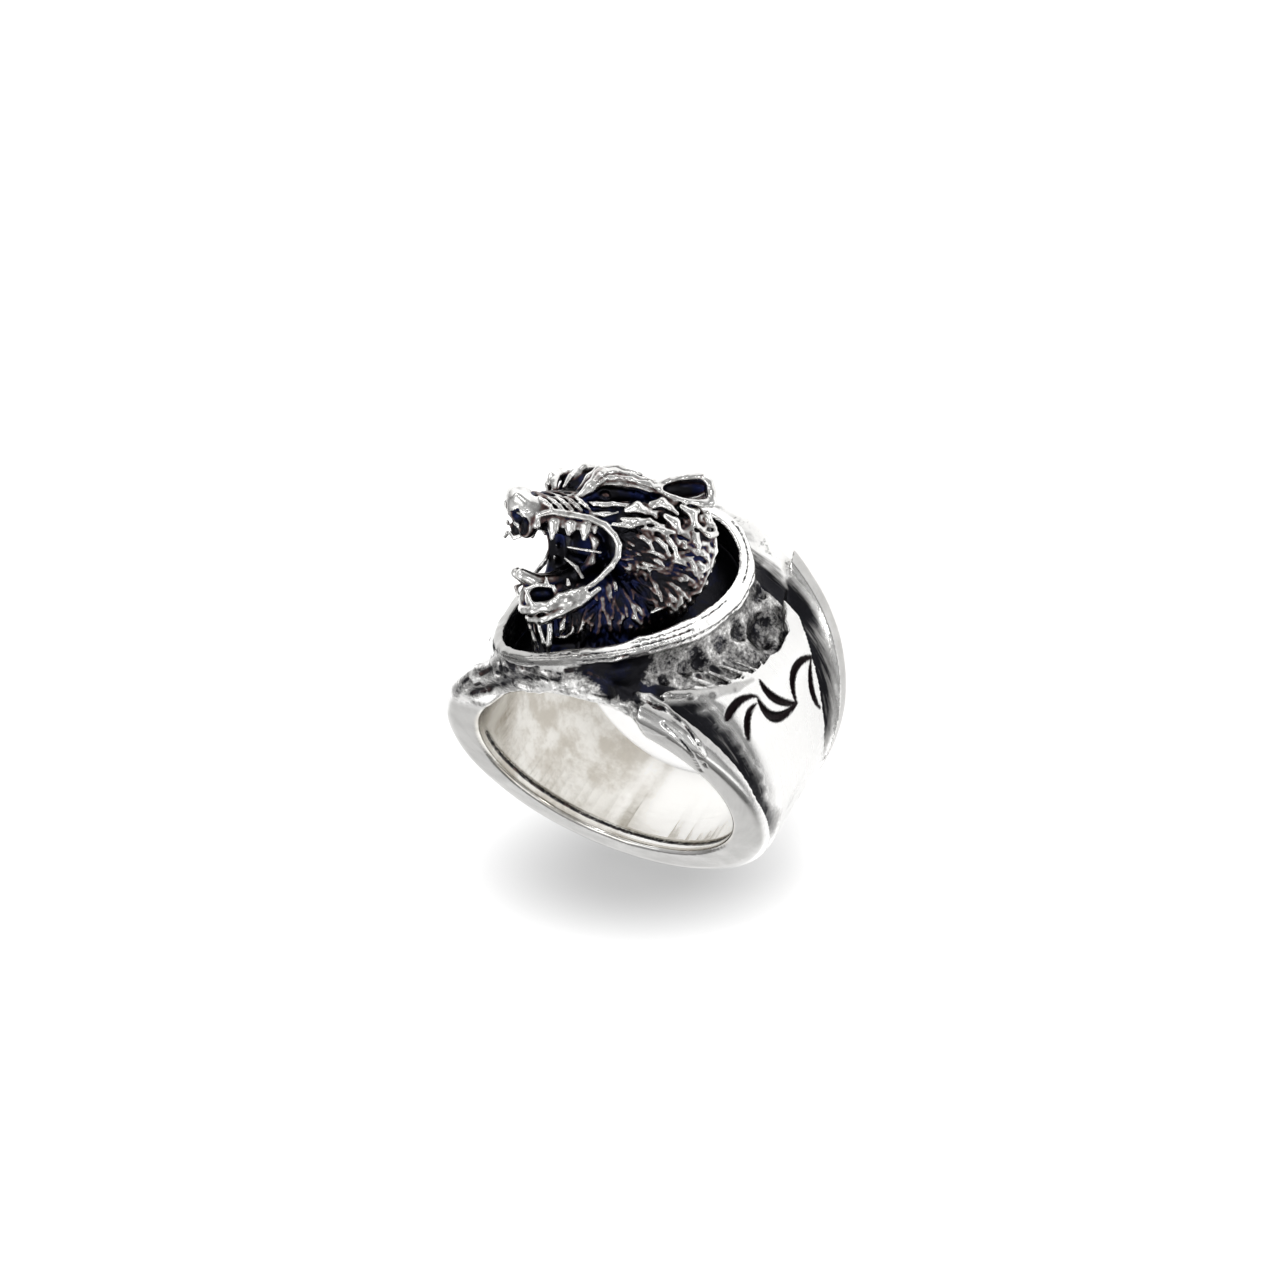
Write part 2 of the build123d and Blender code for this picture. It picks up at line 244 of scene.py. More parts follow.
def box_blur(values, axis, width):
    """Average along one axis over the given number of steps to either side."""
    pads = [(0, 0)] * 3
    pads[axis] = (width + 1, width)
    total = np.cumsum(np.pad(values, pads, mode="edge"), axis=axis, dtype=np.float64)
    late = np.take(total, np.arange(2 * width + 1, total.shape[axis]), axis=axis)
    early = np.take(total, np.arange(0, total.shape[axis] - 2 * width - 1), axis=axis)
    return ((late - early) / (2 * width + 1)).astype(np.float32)


def grid_noise(clay, scale, seed):
    """Smooth random values between -1 and 1 over a block, with lumps of about the given size."""
    rng = np.random.default_rng(seed)
    size = clay.values.shape
    spans = [int(n * clay.grain / scale) + 3 for n in size]
    values = rng.uniform(-1, 1, spans).astype(np.float32)
    for axis in range(3):
        steps = np.arange(size[axis]) * clay.grain / scale
        base = np.floor(steps).astype(int)
        share = steps - base
        share = (share * share * (3 - 2 * share)).astype(np.float32)
        share = share.reshape([-1 if a == axis else 1 for a in range(3)])
        values = np.take(values, base, axis) * (1 - share) + np.take(values, base + 1, axis) * share
    return values


def net_of(clay):
    """Corners and quads of the surface where the block's distances cross zero."""
    values = clay.values
    inside = values < 0
    shape = values.shape
    stride = np.array([shape[1] * shape[2], shape[2], 1])
    flat = values.ravel()
    spots, quads = [], []
    for axis in range(3):
        first = tuple(slice(None, -1) if a == axis else slice(None) for a in range(3))
        second = tuple(slice(1, None) if a == axis else slice(None) for a in range(3))
        index = np.argwhere(inside[first] != inside[second])
        start = index @ stride
        a, b = flat[start], flat[start + stride[axis]]
        spot = index.astype(float)
        spot[:, axis] += a / (a - b)
        j, k = stride[(axis + 1) % 3], stride[(axis + 2) % 3]
        around = np.stack([start - j - k, start - k, start, start - j], 1)
        around[a > 0] = around[a > 0][:, ::-1]
        spots.append(spot)
        quads.append(around)
    quads, spots = np.concatenate(quads), np.concatenate(spots)
    number = np.unique(quads, return_inverse=True)[1].reshape(quads.shape)
    count = np.bincount(number.ravel())
    sums = [np.bincount(number.ravel(), np.repeat(spots[:, a], 4)) for a in range(3)]
    return clay.low + np.stack(sums, 1) / count[:, None] * clay.grain, number


# From the standing ring to the frame and back
lay_down = np.array([
    [-lean_sin, 0.0, lean_cos],
    [0.0, -1.0, 0.0],
    [lean_cos, 0.0, lean_sin],
])


def to_frame(places):
    """Places in the standing ring, in millimetres, laid down and in metres."""
    return np.asarray(places) @ lay_down.T * 0.001


def to_ring(places):
    """Places in the frame, in metres, back in the standing ring and in millimetres."""
    return np.asarray(places) * 1000 @ lay_down


def head_axes():
    """Forward, left and up directions of the head, as rows, in the standing ring."""
    heading, pitch, roll = (math.radians(a) for a in (head_heading, head_pitch, head_roll))
    forward = np.array([
        math.cos(pitch) * math.cos(heading),
        math.cos(pitch) * math.sin(heading),
        math.sin(pitch),
    ])
    level_left = np.array([-math.sin(heading), math.cos(heading), 0.0])
    level_up = np.cross(forward, level_left)
    left = level_left * math.cos(roll) + level_up * math.sin(roll)
    return np.array([forward, left, np.cross(forward, left)])


# Head forms, in its own axes from its middle: f is forward, l is out to the side and u is up
head_masses = [
    # f, l, u, rf, rl, ru, blend
    (0.4, 0.0, 2.0, 4.1, 3.3, 3.1, 0.6),  # skull
    (2.2, 1.5, 4.1, 1.7, 1.3, 1.1, 0.5),  # forehead
    (-0.8, 2.2, 0.4, 3.3, 2.1, 2.9, 0.8),  # cheek
    (-3.3, 1.3, -0.4, 2.7, 2.9, 3.9, 0.6),  # ruff
    (-2.0, 1.3, -3.0, 2.5, 2.8, 2.6, 0.6),  # ruff below the cheek
    (8.0, 0.0, 3.3, 1.15, 1.45, 1.25, 0.3),  # nose
]

head_limbs = [
    # f, l, u, radius, f, l, u, radius, blend
    (3.0, 1.1, 2.3, 1.85, 7.2, 0.6, 2.8, 1.2, 0.5),  # muzzle
    (4.2, 0.0, 3.0, 1.0, 7.4, 0.0, 3.2, 0.85, 0.4),  # bridge of the nose
    (8.0, 0.8, 2.6, 0.75, 7.8, 0.8, 1.5, 0.6, 0.3),  # front of the upper lip
    (2.4, 1.5, -3.0, 1.4, 6.9, 0.5, -3.3, 0.95, 0.5),  # lower jaw
    (1.6, 0.5, 0.0, 1.6, 3.6, 0.2, 0.2, 0.8, 0.5),  # throat inside the mouth
    (0.6, 0.6, -4.6, 2.7, 5.0, 0.2, -5.2, 1.5, 0.6),  # neck
    (1.0, 0.3, -7.0, 2.5, 5.0, 0.0, -8.0, 1.4, 0.6),  # foot of the neck
]

mouth_cuts = [
    # f, l, u, radius, f, l, u, radius, blend
    (6.2, 0.0, -0.4, 1.5, 9.5, 0.0, -0.5, 1.55, 0.2),
    (4.4, 2.6, 0.0, 2.0, 6.8, 2.4, 0.1, 1.9, 0.2),
    (4.0, 2.9, 0.9, 1.5, 6.4, 2.0, 1.2, 1.05, 0.2),
    (4.2, 2.4, -0.9, 1.4, 6.6, 1.6, -0.9, 1.2, 0.2),
]

# Teeth, each from its root
fangs = [
    # f, l, u, length
    (6.25, 1.75, 2.15, 1.15), (5.1, 2.1, 2.0, 0.75), (4.1, 2.4, 1.9, 1.0),
]
upper_teeth = [
    # f, l, u, length
    (5.65, 1.95, 2.2, 0.4), (4.6, 2.3, 2.0, 0.35), (3.5, 2.6, 1.7, 0.35),
]
lower_teeth = [
    # f, l, u, length
    (6.6, 1.35, -2.3, 0.5), (5.2, 1.9, -2.3, 0.35),
]

# Hollows and lumps between the eye, the ear and the cheek
temple_hollows = [
    # f, l, u, size
    (3.5, 2.95, 3.0, 0.26), (2.4, 3.3, 2.95, 0.26), (1.3, 3.65, 2.6, 0.24), (0.6, 3.95, 2.2, 0.3),
    (-1.0, 4.15, 2.1, 0.3), (-1.6, 4.0, 2.7, 0.26), (-0.2, 3.95, 2.7, 0.22), (-2.8, 3.8, 2.4, 0.25),
]
temple_lumps = [
    # f, l, u, size
    (0.6, 3.7, 2.95, 0.36), (-0.9, 3.85, 2.95, 0.34), (-1.9, 3.75, 3.2, 0.34), (-3.3, 4.0, 2.6, 0.34),
    (-2.4, 4.3, 0.65, 0.3), (-2.3, 4.3, -0.75, 0.28),
]

# Broad ridges from the eye to the ear and cheek, each through four places and with its radius
behind_eye = [
    ([(1.5, 3.5, 2.85), (0.8, 3.8, 3.1), (0.2, 3.85, 2.75), (-0.5, 3.9, 2.5)], 0.34),
    ([(-0.3, 3.7, 3.25), (-1.1, 3.85, 3.35), (-1.7, 3.95, 2.95), (-2.2, 4.0, 2.5)], 0.3),
    ([(1.9, 3.6, 2.3), (0.9, 3.95, 2.1), (0.0, 4.1, 2.15), (-0.6, 4.15, 1.85)], 0.26),
    ([(-1.2, 4.1, 2.4), (-1.9, 4.2, 1.9), (-2.2, 4.2, 1.3), (-2.9, 4.15, 1.0)], 0.32),
    ([(-2.5, 4.0, 3.0), (-3.3, 4.05, 2.5), (-3.5, 4.0, 1.7), (-4.2, 3.9, 1.3)], 0.3),
]

# Folds over the muzzle: where each starts, how far it sweeps back and its radius
muzzle_folds = [
    # f, l, u, sweep, radius
    (6.9, 0.2, 3.9, 0.2, 0.2), (6.2, 0.5, 3.95, 0.6, 0.22), (5.4, 0.3, 4.0, 0.4, 0.2),
    (4.9, 0.9, 3.95, 0.7, 0.2),
]
fold_course = [
    # share of the sweep, out, down
    (0.0, 0.0, 0.0), (0.3, 0.6, 0.2), (1.0, 1.1, 0.6), (1.6, 1.5, 1.0),
]

# Thick strands under the chin: where each starts, how far it hangs and leans, and its radius
chin_strands = [
    # f, l, u, drop, lean, radius
    (7.1, 0.7, -4.6, 2.5, -0.75, 0.2), (6.3, 1.15, -4.5, 2.8, 0.1, 0.24), (5.3, 1.5, -4.3, 1.5, 0.35, 0.2),
]

# Strands of fur: rows fan out from the corner of the mouth over the cheek, ruff and neck
fur_centre = (3.4, 1.1)
fur_rows = 13
fur_first_row = 1.4
fur_row_step = 0.62
fur_spacing = 0.4
fur_wider = 0.012  # more spacing with each row
fur_radius = 0.1
fur_thicker = 0.011  # more radius with each row
fur_longer = 0.07  # more length with each row
fur_angles = (-148, 96)  # from straight back, turning up, in degrees
fur_front = 4.6  # no strand starts in front of this
fur_foot = -6.2  # or below this
fur_seed = 11
lock_places = 4
cheek_rows = 6
cheek_locks = 6  # in each row
cheek_seed = 41
neck_seed = 17

# Corners of the blocks that the castings are sculpted in
head_block = ((-7.4, 0.0, -8.4), (9.6, 5.6, 6.7))
band_block = ((-12.6, -13.3, -13.2), (12.6, 13.3, 15.0))
bezel_block = np.array([(-12.5, -12.5, 6.0), (13.0, 12.5, 15.0)])

# Uneven surface of each casting: size of its lumps and seed
head_noise = ((0.6, 3), (0.25, 4))
band_noise = ((1.5, 21), (0.62, 22), (0.3, 23))
ground_heights = (0.3, 0.14, 0.06)  # how far each of these raises or lowers the melted ground


def worked(clay, table, combine):
    """Work every limb of a table into the clay."""
    for f1, l1, u1, r1, f2, l2, u2, r2, blend in table:
        clay.work(limb((f1, l1, u1), (f2, l2, u2), r1, r2), blend, combine)


def side_of(clay, f, u):
    """How far out the clay's surface is at a place seen from the side, or None beside it."""
    i, k = (int(round((v - o) / clay.grain)) for v, o in ((f, clay.low[0]), (u, clay.low[2])))
    if not (0 <= i < clay.values.shape[0] and 0 <= k < clay.values.shape[2]):
        return None
    inside = np.nonzero(clay.values[i, :, k] < 0)[0]
    if not len(inside):
        return None
    return clay.low[1] + inside[-1] * clay.grain


def moved(places, f, l, u):
    """The same places moved forward, out and up."""
    return [(a + f, b + l, c + u) for a, b, c in places]


def lock_path(clay, f, u, heading, bend, length, sunk, lift, least):
    """Places of a lock that runs back over the side of the head, as far as the side reaches."""
    places = []
    for step in range(lock_places):
        l = side_of(clay, f, u)
        if l is None or l < least:
            break
        places.append((f, l - sunk + lift * step, u))
        heading += bend
        f -= math.cos(heading) * length / (lock_places - 1)
        u += math.sin(heading) * length / (lock_places - 1)
    return places


def fur_strands(clay):
    """Overlapping locks of fur that follow the side of the head."""
    rng = np.random.default_rng(fur_seed)
    strands = []
    low, high = (math.radians(a) for a in fur_angles)
    for row in range(fur_rows):
        reach = fur_first_row + row * fur_row_step
        count = int(reach * (high - low) / (fur_spacing + fur_wider * row))
        thick = fur_radius + fur_thicker * row
        for n in range(count):
            turn = low + (high - low) * (n + rng.uniform(0.1, 0.9)) / count
            heading = turn + rng.normal(0, 0.15)
            length = rng.uniform(0.8, 1.5) + fur_longer * row
            bend = rng.normal(0, 0.14) - 0.08
            radius = thick * rng.uniform(0.85, 1.35)
            f = fur_centre[0] - reach * math.cos(turn)
            u = fur_centre[1] + reach * math.sin(turn)
            above_cheek = u > 2.2 - 0.12 * (f + 4)
            if above_cheek or u < fur_foot or f > fur_front:
                continue
            places = lock_path(clay, f, u, heading, bend, length, sunk=0.12, lift=0.09, least=0.5)
            if len(places) > 2:
                strands.append((places, radius))
    return strands


def carve_fur(clay):
    """Raise the locks of fur and cut a groove along one side of each."""
    strands = fur_strands(clay)
    for places, _ in strands:
        clay.cord(moved(places, 0.06, 0.16, 0.16), [0.06, 0.13, 0.13, 0.06], 0.06, cut)
    for places, radius in strands:
        clay.cord(places, [radius * share for share in (0.75, 1.0, 0.9, 0.4)], 0.07)


def carve_mouth(clay):
    """Open the mouth, then put in its folds, the tongue and the teeth."""
    worked(clay, mouth_cuts, cut)
    mouth_back = [(4.0, 1.6, 1.9), (3.1, 1.9, 0.6), (3.3, 1.6, -0.8), (4.3, 1.1, -1.8)]
    clay.cord(mouth_back, [0.3, 0.26, 0.26, 0.3], 0.4)
    middle_fold = [(4.8, 1.0, 0.2), (3.7, 1.8, 0.0), (2.9, 2.3, -0.15)]
    clay.cord(middle_fold, [0.1, 0.12, 0.1], 0.1)
    lower_fold = [(5.0, 0.9, -0.6), (4.4, 1.5, -1.2), (4.1, 1.8, -1.9)]
    clay.cord(lower_fold, [0.12, 0.2, 0.16], 0.1)
    tongue = [(3.6, 0.5, -1.8), (5.4, 0.6, -2.3), (7.0, 0.6, -2.2), (8.1, 0.5, -1.6)]
    clay.cord(tongue, [0.7, 0.6, 0.5, 0.42], 0.15)
    tongue_groove = [(5.0, 0.0, -1.8), (6.8, 0.0, -2.1), (7.9, 0.0, -1.8)]
    clay.cord(tongue_groove, [0.3, 0.3, 0.2], 0.1, cut)
    clay.work(egg((7.1, 1.35, -3.0), (0.95, 0.85, 0.56)), 0.1, cut)
    hollow_rim = [(8.0, 0.85, -2.6), (7.2, 1.3, -2.3), (6.2, 1.55, -2.45),
                  (5.95, 1.6, -3.0), (6.4, 1.55, -3.6), (7.6, 1.05, -3.65)]
    clay.cord(hollow_rim + hollow_rim[:1], [0.13] * (len(hollow_rim) + 1), 0.1)
    for f, l, u, size in fangs:
        places = [(f, l, u), (f + 0.02, l, u - 0.5 * size), (f + 0.1, l - 0.05, u - size)]
        clay.cord(places, [0.5, 0.36, 0.17], 0.12)
    for f, l, u, size in upper_teeth:
        clay.cord([(f, l, u), (f, l, u - size)], [0.3, 0.16], 0.12)
    for f, l, u, size in lower_teeth:
        clay.cord([(f, l, u), (f + 0.05, l, u + size)], [0.22, 0.1], 0.1)


def carve_lips(clay):
    """Rolled lips and the drop of the front one."""
    lip = [(7.4, 1.7, 2.65), (6.5, 2.05, 2.9), (5.3, 2.45, 2.65), (4.0, 2.85, 2.4), (3.0, 3.2, 1.9),
           (2.4, 3.5, 1.2), (2.1, 3.6, 0.5), (2.2, 3.6, -0.3), (2.6, 3.45, -1.0), (3.3, 3.15, -1.8),
           (4.0, 2.9, -2.35)]
    clay.cord(lip, [0.22, 0.25, 0.26, 0.26, 0.25, 0.24, 0.24, 0.23, 0.22, 0.21, 0.2], 0.08)
    lip_drop = [(7.4, 1.45, 2.9), (7.4, 1.55, 2.4), (7.45, 1.5, 1.95)]
    clay.cord(lip_drop, [0.3, 0.24, 0.32], 0.08)
    jaw = [(4.2, 2.75, -2.5), (5.0, 2.3, -2.85), (5.8, 1.9, -3.1),
           (6.6, 1.5, -3.85), (7.4, 0.9, -4.1), (7.7, 0.0, -4.2)]
    clay.cord(jaw, [0.2, 0.3, 0.26, 0.34, 0.36, 0.36], 0.12)
    for f, l, u in ((4.6, 2.6, -2.75), (5.4, 2.2, -3.05), (6.1, 1.9, -3.35)):
        clay.work(egg((f, l, u), (0.3, 0.22, 0.2)), 0.1, join)
    below_jaw = [(6.6, 1.35, -3.95), (5.4, 2.0, -3.55), (4.2, 2.65, -2.95)]
    clay.cord(below_jaw, [0.42, 0.42, 0.3], 0.2)
    under = [(3.4, 3.0, -2.6), (4.6, 2.5, -3.6), (5.8, 1.9, -4.3), (6.8, 1.2, -4.8), (7.2, 0.0, -4.9)]
    clay.cord(under, [0.22, 0.28, 0.28, 0.3, 0.3], 0.15)


def carve_eyes(clay):
    """Deep socket, small eye, heavy brow and the folds below."""
    for l in (3.5, 2.7):
        socket = [(4.0, l - 0.3, 3.72), (3.0, l, 4.15), (1.6, l + 0.1, 4.0), (0.1, l + 0.3, 3.75)]
        clay.cord(socket + [(-0.7, l + 0.5, 3.75)], [0.2, 0.62, 0.55, 0.42, 0.2], 0.1, cut)
    clay.work(egg((2.55, 2.1, 3.75), (0.42, 0.45, 0.4)), 0.08, join)
    brow = [(4.5, 2.0, 3.75), (3.6, 2.2, 4.5), (2.8, 2.2, 5.15), (1.9, 2.4, 5.1),
            (0.9, 2.7, 4.85), (-0.4, 3.1, 4.45), (-1.7, 3.35, 4.05)]
    clay.cord(brow, [0.22, 0.36, 0.58, 0.6, 0.56, 0.45, 0.28], 0.3)
    inner_brow = [(3.9, 1.0, 4.2), (3.2, 1.2, 5.0), (2.5, 1.3, 5.55), (1.2, 1.6, 5.6), (-0.3, 2.0, 5.2)]
    clay.cord(inner_brow, [0.2, 0.3, 0.34, 0.3, 0.2], 0.25)
    clay.cord([(1.4, 2.1, 5.85), (0.3, 2.6, 5.4), (-0.8, 3.0, 4.95)], [0.1, 0.14, 0.1], 0.08, cut)
    clay.cord([(0.6, 3.1, 5.1), (-0.7, 3.4, 4.7)], [0.1, 0.1], 0.06, cut)
    over_brow = [(3.3, 4.95), (2.6, 5.4), (1.7, 5.45), (0.7, 5.2), (-0.3, 4.85), (-1.2, 4.5)]
    for drop, size in ((0.0, 0.13), (0.55, 0.1)):
        places = [(f, side_of(clay, f, u - drop), u - drop) for f, u in over_brow]
        places = [place for place in places if place[1] is not None]
        clay.cord(places, [0.5 * size] + [size] * (len(places) - 2) + [0.5 * size], 0.08, cut)
    lower_lid = [(4.4, 2.25, 3.4), (3.4, 2.7, 3.25), (2.3, 3.05, 3.3), (1.2, 3.35, 3.2)]
    clay.cord(lower_lid, [0.16, 0.26, 0.2, 0.14], 0.14)
    below_lid = [(3.9, 2.7, 2.72), (3.0, 3.05, 2.62), (2.1, 3.3, 2.75)]
    clay.cord(below_lid, [0.14, 0.22, 0.14], 0.08)
    cheek_bone = [(2.5, 3.55, 1.95), (1.4, 3.9, 1.85), (0.2, 4.15, 1.7), (-1.0, 4.3, 1.45), (-2.0, 4.35, 1.2)]
    clay.cord(cheek_bone, [0.14, 0.24, 0.22, 0.22, 0.14], 0.08)
    for f, l, u, size in temple_hollows:
        clay.work(egg((f, l, u), (size * 1.35, 0.4, size * 0.8)), 0.08, cut)
    for f, l, u, size in temple_lumps:
        clay.work(egg((f, l - 0.2, u), (size * 2.2, size, size)), 0.3, join)
    for places, size in behind_eye:
        clay.cord(moved(places, -0.05, 0.12, -size - 0.08), [0.08, 0.16, 0.16, 0.08], 0.08, cut)
        clay.cord(places, [size * share for share in (0.6, 1.2, 0.8, 0.5)], 0.14)


def carve_cheek(clay):
    """Curled locks from below the eye back to the ruff, in staggered rows."""
    rng = np.random.default_rng(cheek_seed)
    locks = []
    for row in range(cheek_rows):
        for n in range(cheek_locks):
            f = 1.7 - 1.05 * n - 0.45 * (row % 2) + rng.uniform(-0.2, 0.2)
            u = 3.15 - 0.4 * row + rng.uniform(-0.12, 0.12)
            on_ear = f < -1.3 and u > 2.9
            if on_ear:
                continue
            heading = -0.15 - 0.12 * n - rng.normal(0, 0.2)
            bend = -rng.choice([-0.4, 0.3])
            length = rng.uniform(1.5, 2.3)
            places = lock_path(clay, f, u, heading, bend, length, sunk=0.06, lift=0.05, least=1.5)
            if len(places) > 2:
                locks.append((places, rng.uniform(0.17, 0.27)))
    for places, size in locks:
        clay.cord(moved(places, 0.0, 0.12, -size - 0.06), [0.05, 0.12, 0.12, 0.05], 0.06, cut)
    for places, size in locks:
        clay.cord(places, [size * share for share in (0.7, 1.0, 0.95, 0.5)], 0.06)


def carve_nose(clay):
    """Nose pad, curled nostril and wrinkles over the muzzle."""
    clay.work(egg((8.75, 0.9, 2.35), (0.6, 0.75, 0.55)), 0.12, cut)
    lip_edge = [(8.9, 0.25, 1.3), (8.85, 0.75, 1.0), (8.45, 1.2, 1.2), (8.15, 1.4, 1.7)]
    clay.cord(lip_edge, [0.14, 0.13, 0.13, 0.12], 0.08)
    nostril = [(8.55, 0.75, 2.85), (8.3, 1.2, 2.7), (8.25, 1.3, 2.2), (8.5, 1.0, 1.85), (8.7, 0.7, 2.05)]
    clay.cord(nostril, [0.16, 0.17, 0.17, 0.16, 0.14], 0.06)
    clay.cord([(9.0, 0.0, 3.4), (8.9, 0.0, 1.6)], [0.12, 0.1], 0.08, cut)
    clay.cord([(8.6, 0.15, 4.1), (8.5, 0.8, 3.9), (8.1, 1.2, 3.55)], [0.36, 0.38, 0.3], 0.2)
    clay.cord([(7.25, 0.0, 4.15), (7.35, 0.8, 3.85), (7.45, 1.3, 3.3)], [0.3, 0.3, 0.22], 0.12, cut)
    clay.cord([(8.9, 0.3, 2.75), (8.6, 1.0, 3.0), (8.1, 1.45, 2.95)], [0.1, 0.12, 0.1], 0.06, cut)
    for f, l, u, sweep, size in muzzle_folds:
        places = [(f - sweep * back, l + out, u - down) for back, out, down in fold_course]
        clay.cord(places, [0.5 * size, size, size, 0.5 * size], 0.16)
    clay.work(egg((8.3, 1.35, 1.75), (0.35, 0.5, 0.75)), 0.1, cut)
    for f in (6.9, 6.3, 5.7, 5.1, 4.5):
        spots = [(f - 0.3 * n, 3.75 - 0.3 * n) for n in range(4)]
        places = [(f, side_of(clay, f, u), u) for f, u in spots]
        if all(l is not None for _, l, _ in places):
            clay.cord(places, [0.1, 0.17, 0.17, 0.08], 0.08, cut)
            clay.cord(moved(places, 0.28, 0.02, 0.08), [0.08, 0.15, 0.16, 0.1], 0.1)
    for f, l, u in ((6.55, 0.45, 3.95), (5.8, 0.6, 4.0), (5.1, 0.8, 3.95)):
        places = [(f, l - 0.3, u + 0.15), (f - 0.25, l + 0.3, u + 0.05)]
        places += [(f - 0.5, l + 0.75, u - 0.2), (f - 0.75, l + 1.1, u - 0.7)]
        clay.cord(places, [0.12, 0.2, 0.2, 0.14], 0.08, cut)
    for f, l, u in ((6.5, 1.35, 3.35), (5.8, 1.5, 3.3), (5.0, 1.75, 3.15), (5.6, 0.8, 3.9)):
        clay.work(egg((f, l, u), (0.28, 0.3, 0.14)), 0.1, cut)


def carve_ears(clay):
    """Ear laid back, hollow on its outer side, with a thick rim."""
    clay.work(egg((-3.0, 2.9, 4.0), (2.3, 0.95, 1.05)), 0.3, join)
    for l in (3.7, 4.4):
        clay.work(egg((-3.05, l, 4.2), (1.8, 0.95, 0.68)), 0.08, cut)
    rim = [(-0.7, 3.1, 4.45), (-1.9, 3.3, 4.8), (-3.2, 3.4, 5.0), (-4.3, 3.5, 5.0), (-4.85, 3.6, 4.55),
           (-4.95, 3.75, 3.9), (-4.85, 3.95, 3.2), (-4.1, 4.05, 3.15), (-2.9, 3.98, 3.35), (-1.6, 3.6, 3.8)]
    clay.cord(rim + rim[:1], [0.17, 0.18, 0.19, 0.22, 0.28, 0.36, 0.4, 0.3, 0.22, 0.18, 0.17], 0.15)


def carve_neck(clay):
    """Sharp lower edge of the ruff, and long strands down the front of the neck."""
    edge = [(-4.9, 3.3, 2.4), (-5.4, 3.3, 1.2), (-5.45, 3.3, -0.4), (-4.75, 3.45, -1.8),
            (-4.1, 3.4, -3.1), (-2.8, 3.7, -3.35), (-1.6, 3.7, -3.9), (-0.4, 3.6, -4.4)]
    clay.cord(edge, [0.14, 0.18, 0.2, 0.22, 0.22, 0.2, 0.18, 0.12], 0.15)
    for f, l, u, drop, lean_back, size in chin_strands:
        places = [(f, l, u), (f + 0.3 * lean_back, l + 0.1, u - 0.4 * drop),
                  (f + 0.7 * lean_back, l + 0.05, u - 0.75 * drop), (f + lean_back, l - 0.1, u - drop)]
        clay.cord(moved(places, -0.36, 0.12, 0.0), [0.1, 0.2, 0.2, 0.1], 0.06, cut)
        clay.cord(places, [size, 0.8 * size, size, 0.5 * size], 0.12)
    rng = np.random.default_rng(neck_seed)
    for n in range(3, 8):
        f = 7.1 - 0.5 * n + rng.uniform(-0.1, 0.1)
        l = 0.75 + 0.17 * n + rng.uniform(-0.1, 0.1)
        top = -4.5 - 0.05 * n + rng.uniform(-0.4, 0.3)
        length = rng.uniform(1.2, 2.6)
        sway = rng.uniform(-0.25, 0.1)
        places = [(f, l, top), (f + 0.3 * sway, l + 0.08, top - 0.35 * length),
                  (f + 0.8 * sway, l, top - 0.7 * length), (f + sway, l - 0.15, top - length)]
        size = rng.uniform(0.1, 0.2) - 0.008 * n
        clay.cord(moved(places, 0.18, 0.12, 0.0), [0.06, 0.12, 0.12, 0.06], 0.06, cut)
        clay.cord(places, [size, size, 0.8 * size, 0.4 * size], 0.1)


def carve_far_side(clay):
    """Far brow, which shows over the bridge of the nose, and the inside of the far cheek."""
    cheek = [(4.3, -1.7, 1.9), (4.1, -1.9, 0.2), (4.4, -1.8, -1.6), (5.2, -1.6, -2.6)]
    clay.cord(cheek, [0.7, 0.75, 0.7, 0.5], 0.3)
    clay.cord([(2.6, -1.2, 1.5), (2.6, -1.4, -1.6)], [1.6, 1.5], 0.3)
    cheek_fold = [(5.5, -1.8, 2.0), (5.0, -1.9, 1.0), (4.9, -1.9, -0.2), (5.3, -1.8, -1.0)]
    clay.cord(cheek_fold, [0.16, 0.13, 0.13, 0.18], 0.08)
    brow = [(4.9, -1.0, 3.9), (4.6, -1.8, 4.5), (4.2, -2.3, 4.85), (3.2, -2.5, 4.9)]
    clay.cord(brow, [0.15, 0.3, 0.4, 0.35], 0.12)
    inner_brow = [(4.4, -0.6, 4.2), (3.7, -1.0, 4.95), (3.0, -1.3, 5.35)]
    clay.cord(inner_brow, [0.14, 0.18, 0.2], 0.08)
    outer_brow = [(4.9, -1.9, 3.6), (5.0, -2.0, 4.3), (4.6, -2.2, 4.9), (3.7, -2.4, 5.1)]
    clay.cord(outer_brow, [0.16, 0.24, 0.3, 0.3], 0.1)


def mirrored(half):
    """Whole head from its left half. The far side hangs a little, as in the casting."""
    size = half.values.shape
    high = half.low + (np.array(size) - 1) * half.grain
    whole = Clay((half.low[0], -high[1], half.low[2]), high, half.grain)
    whole.values = np.concatenate([half.values[:, :0:-1], half.values], 1)
    steps = np.arange(size[2])
    for j in range(size[1] - 1):
        out = (size[1] - 1 - j) * half.grain
        shifted = np.clip(steps + far_side_drop * out**2 / half.grain, 0, size[2] - 1)
        base = np.minimum(shifted.astype(int), size[2] - 2)
        share = (shifted - base).astype(np.float32)
        column = whole.values[:, j]
        whole.values[:, j] = column[:, base] * (1 - share) + column[:, base + 1] * share
    return whole


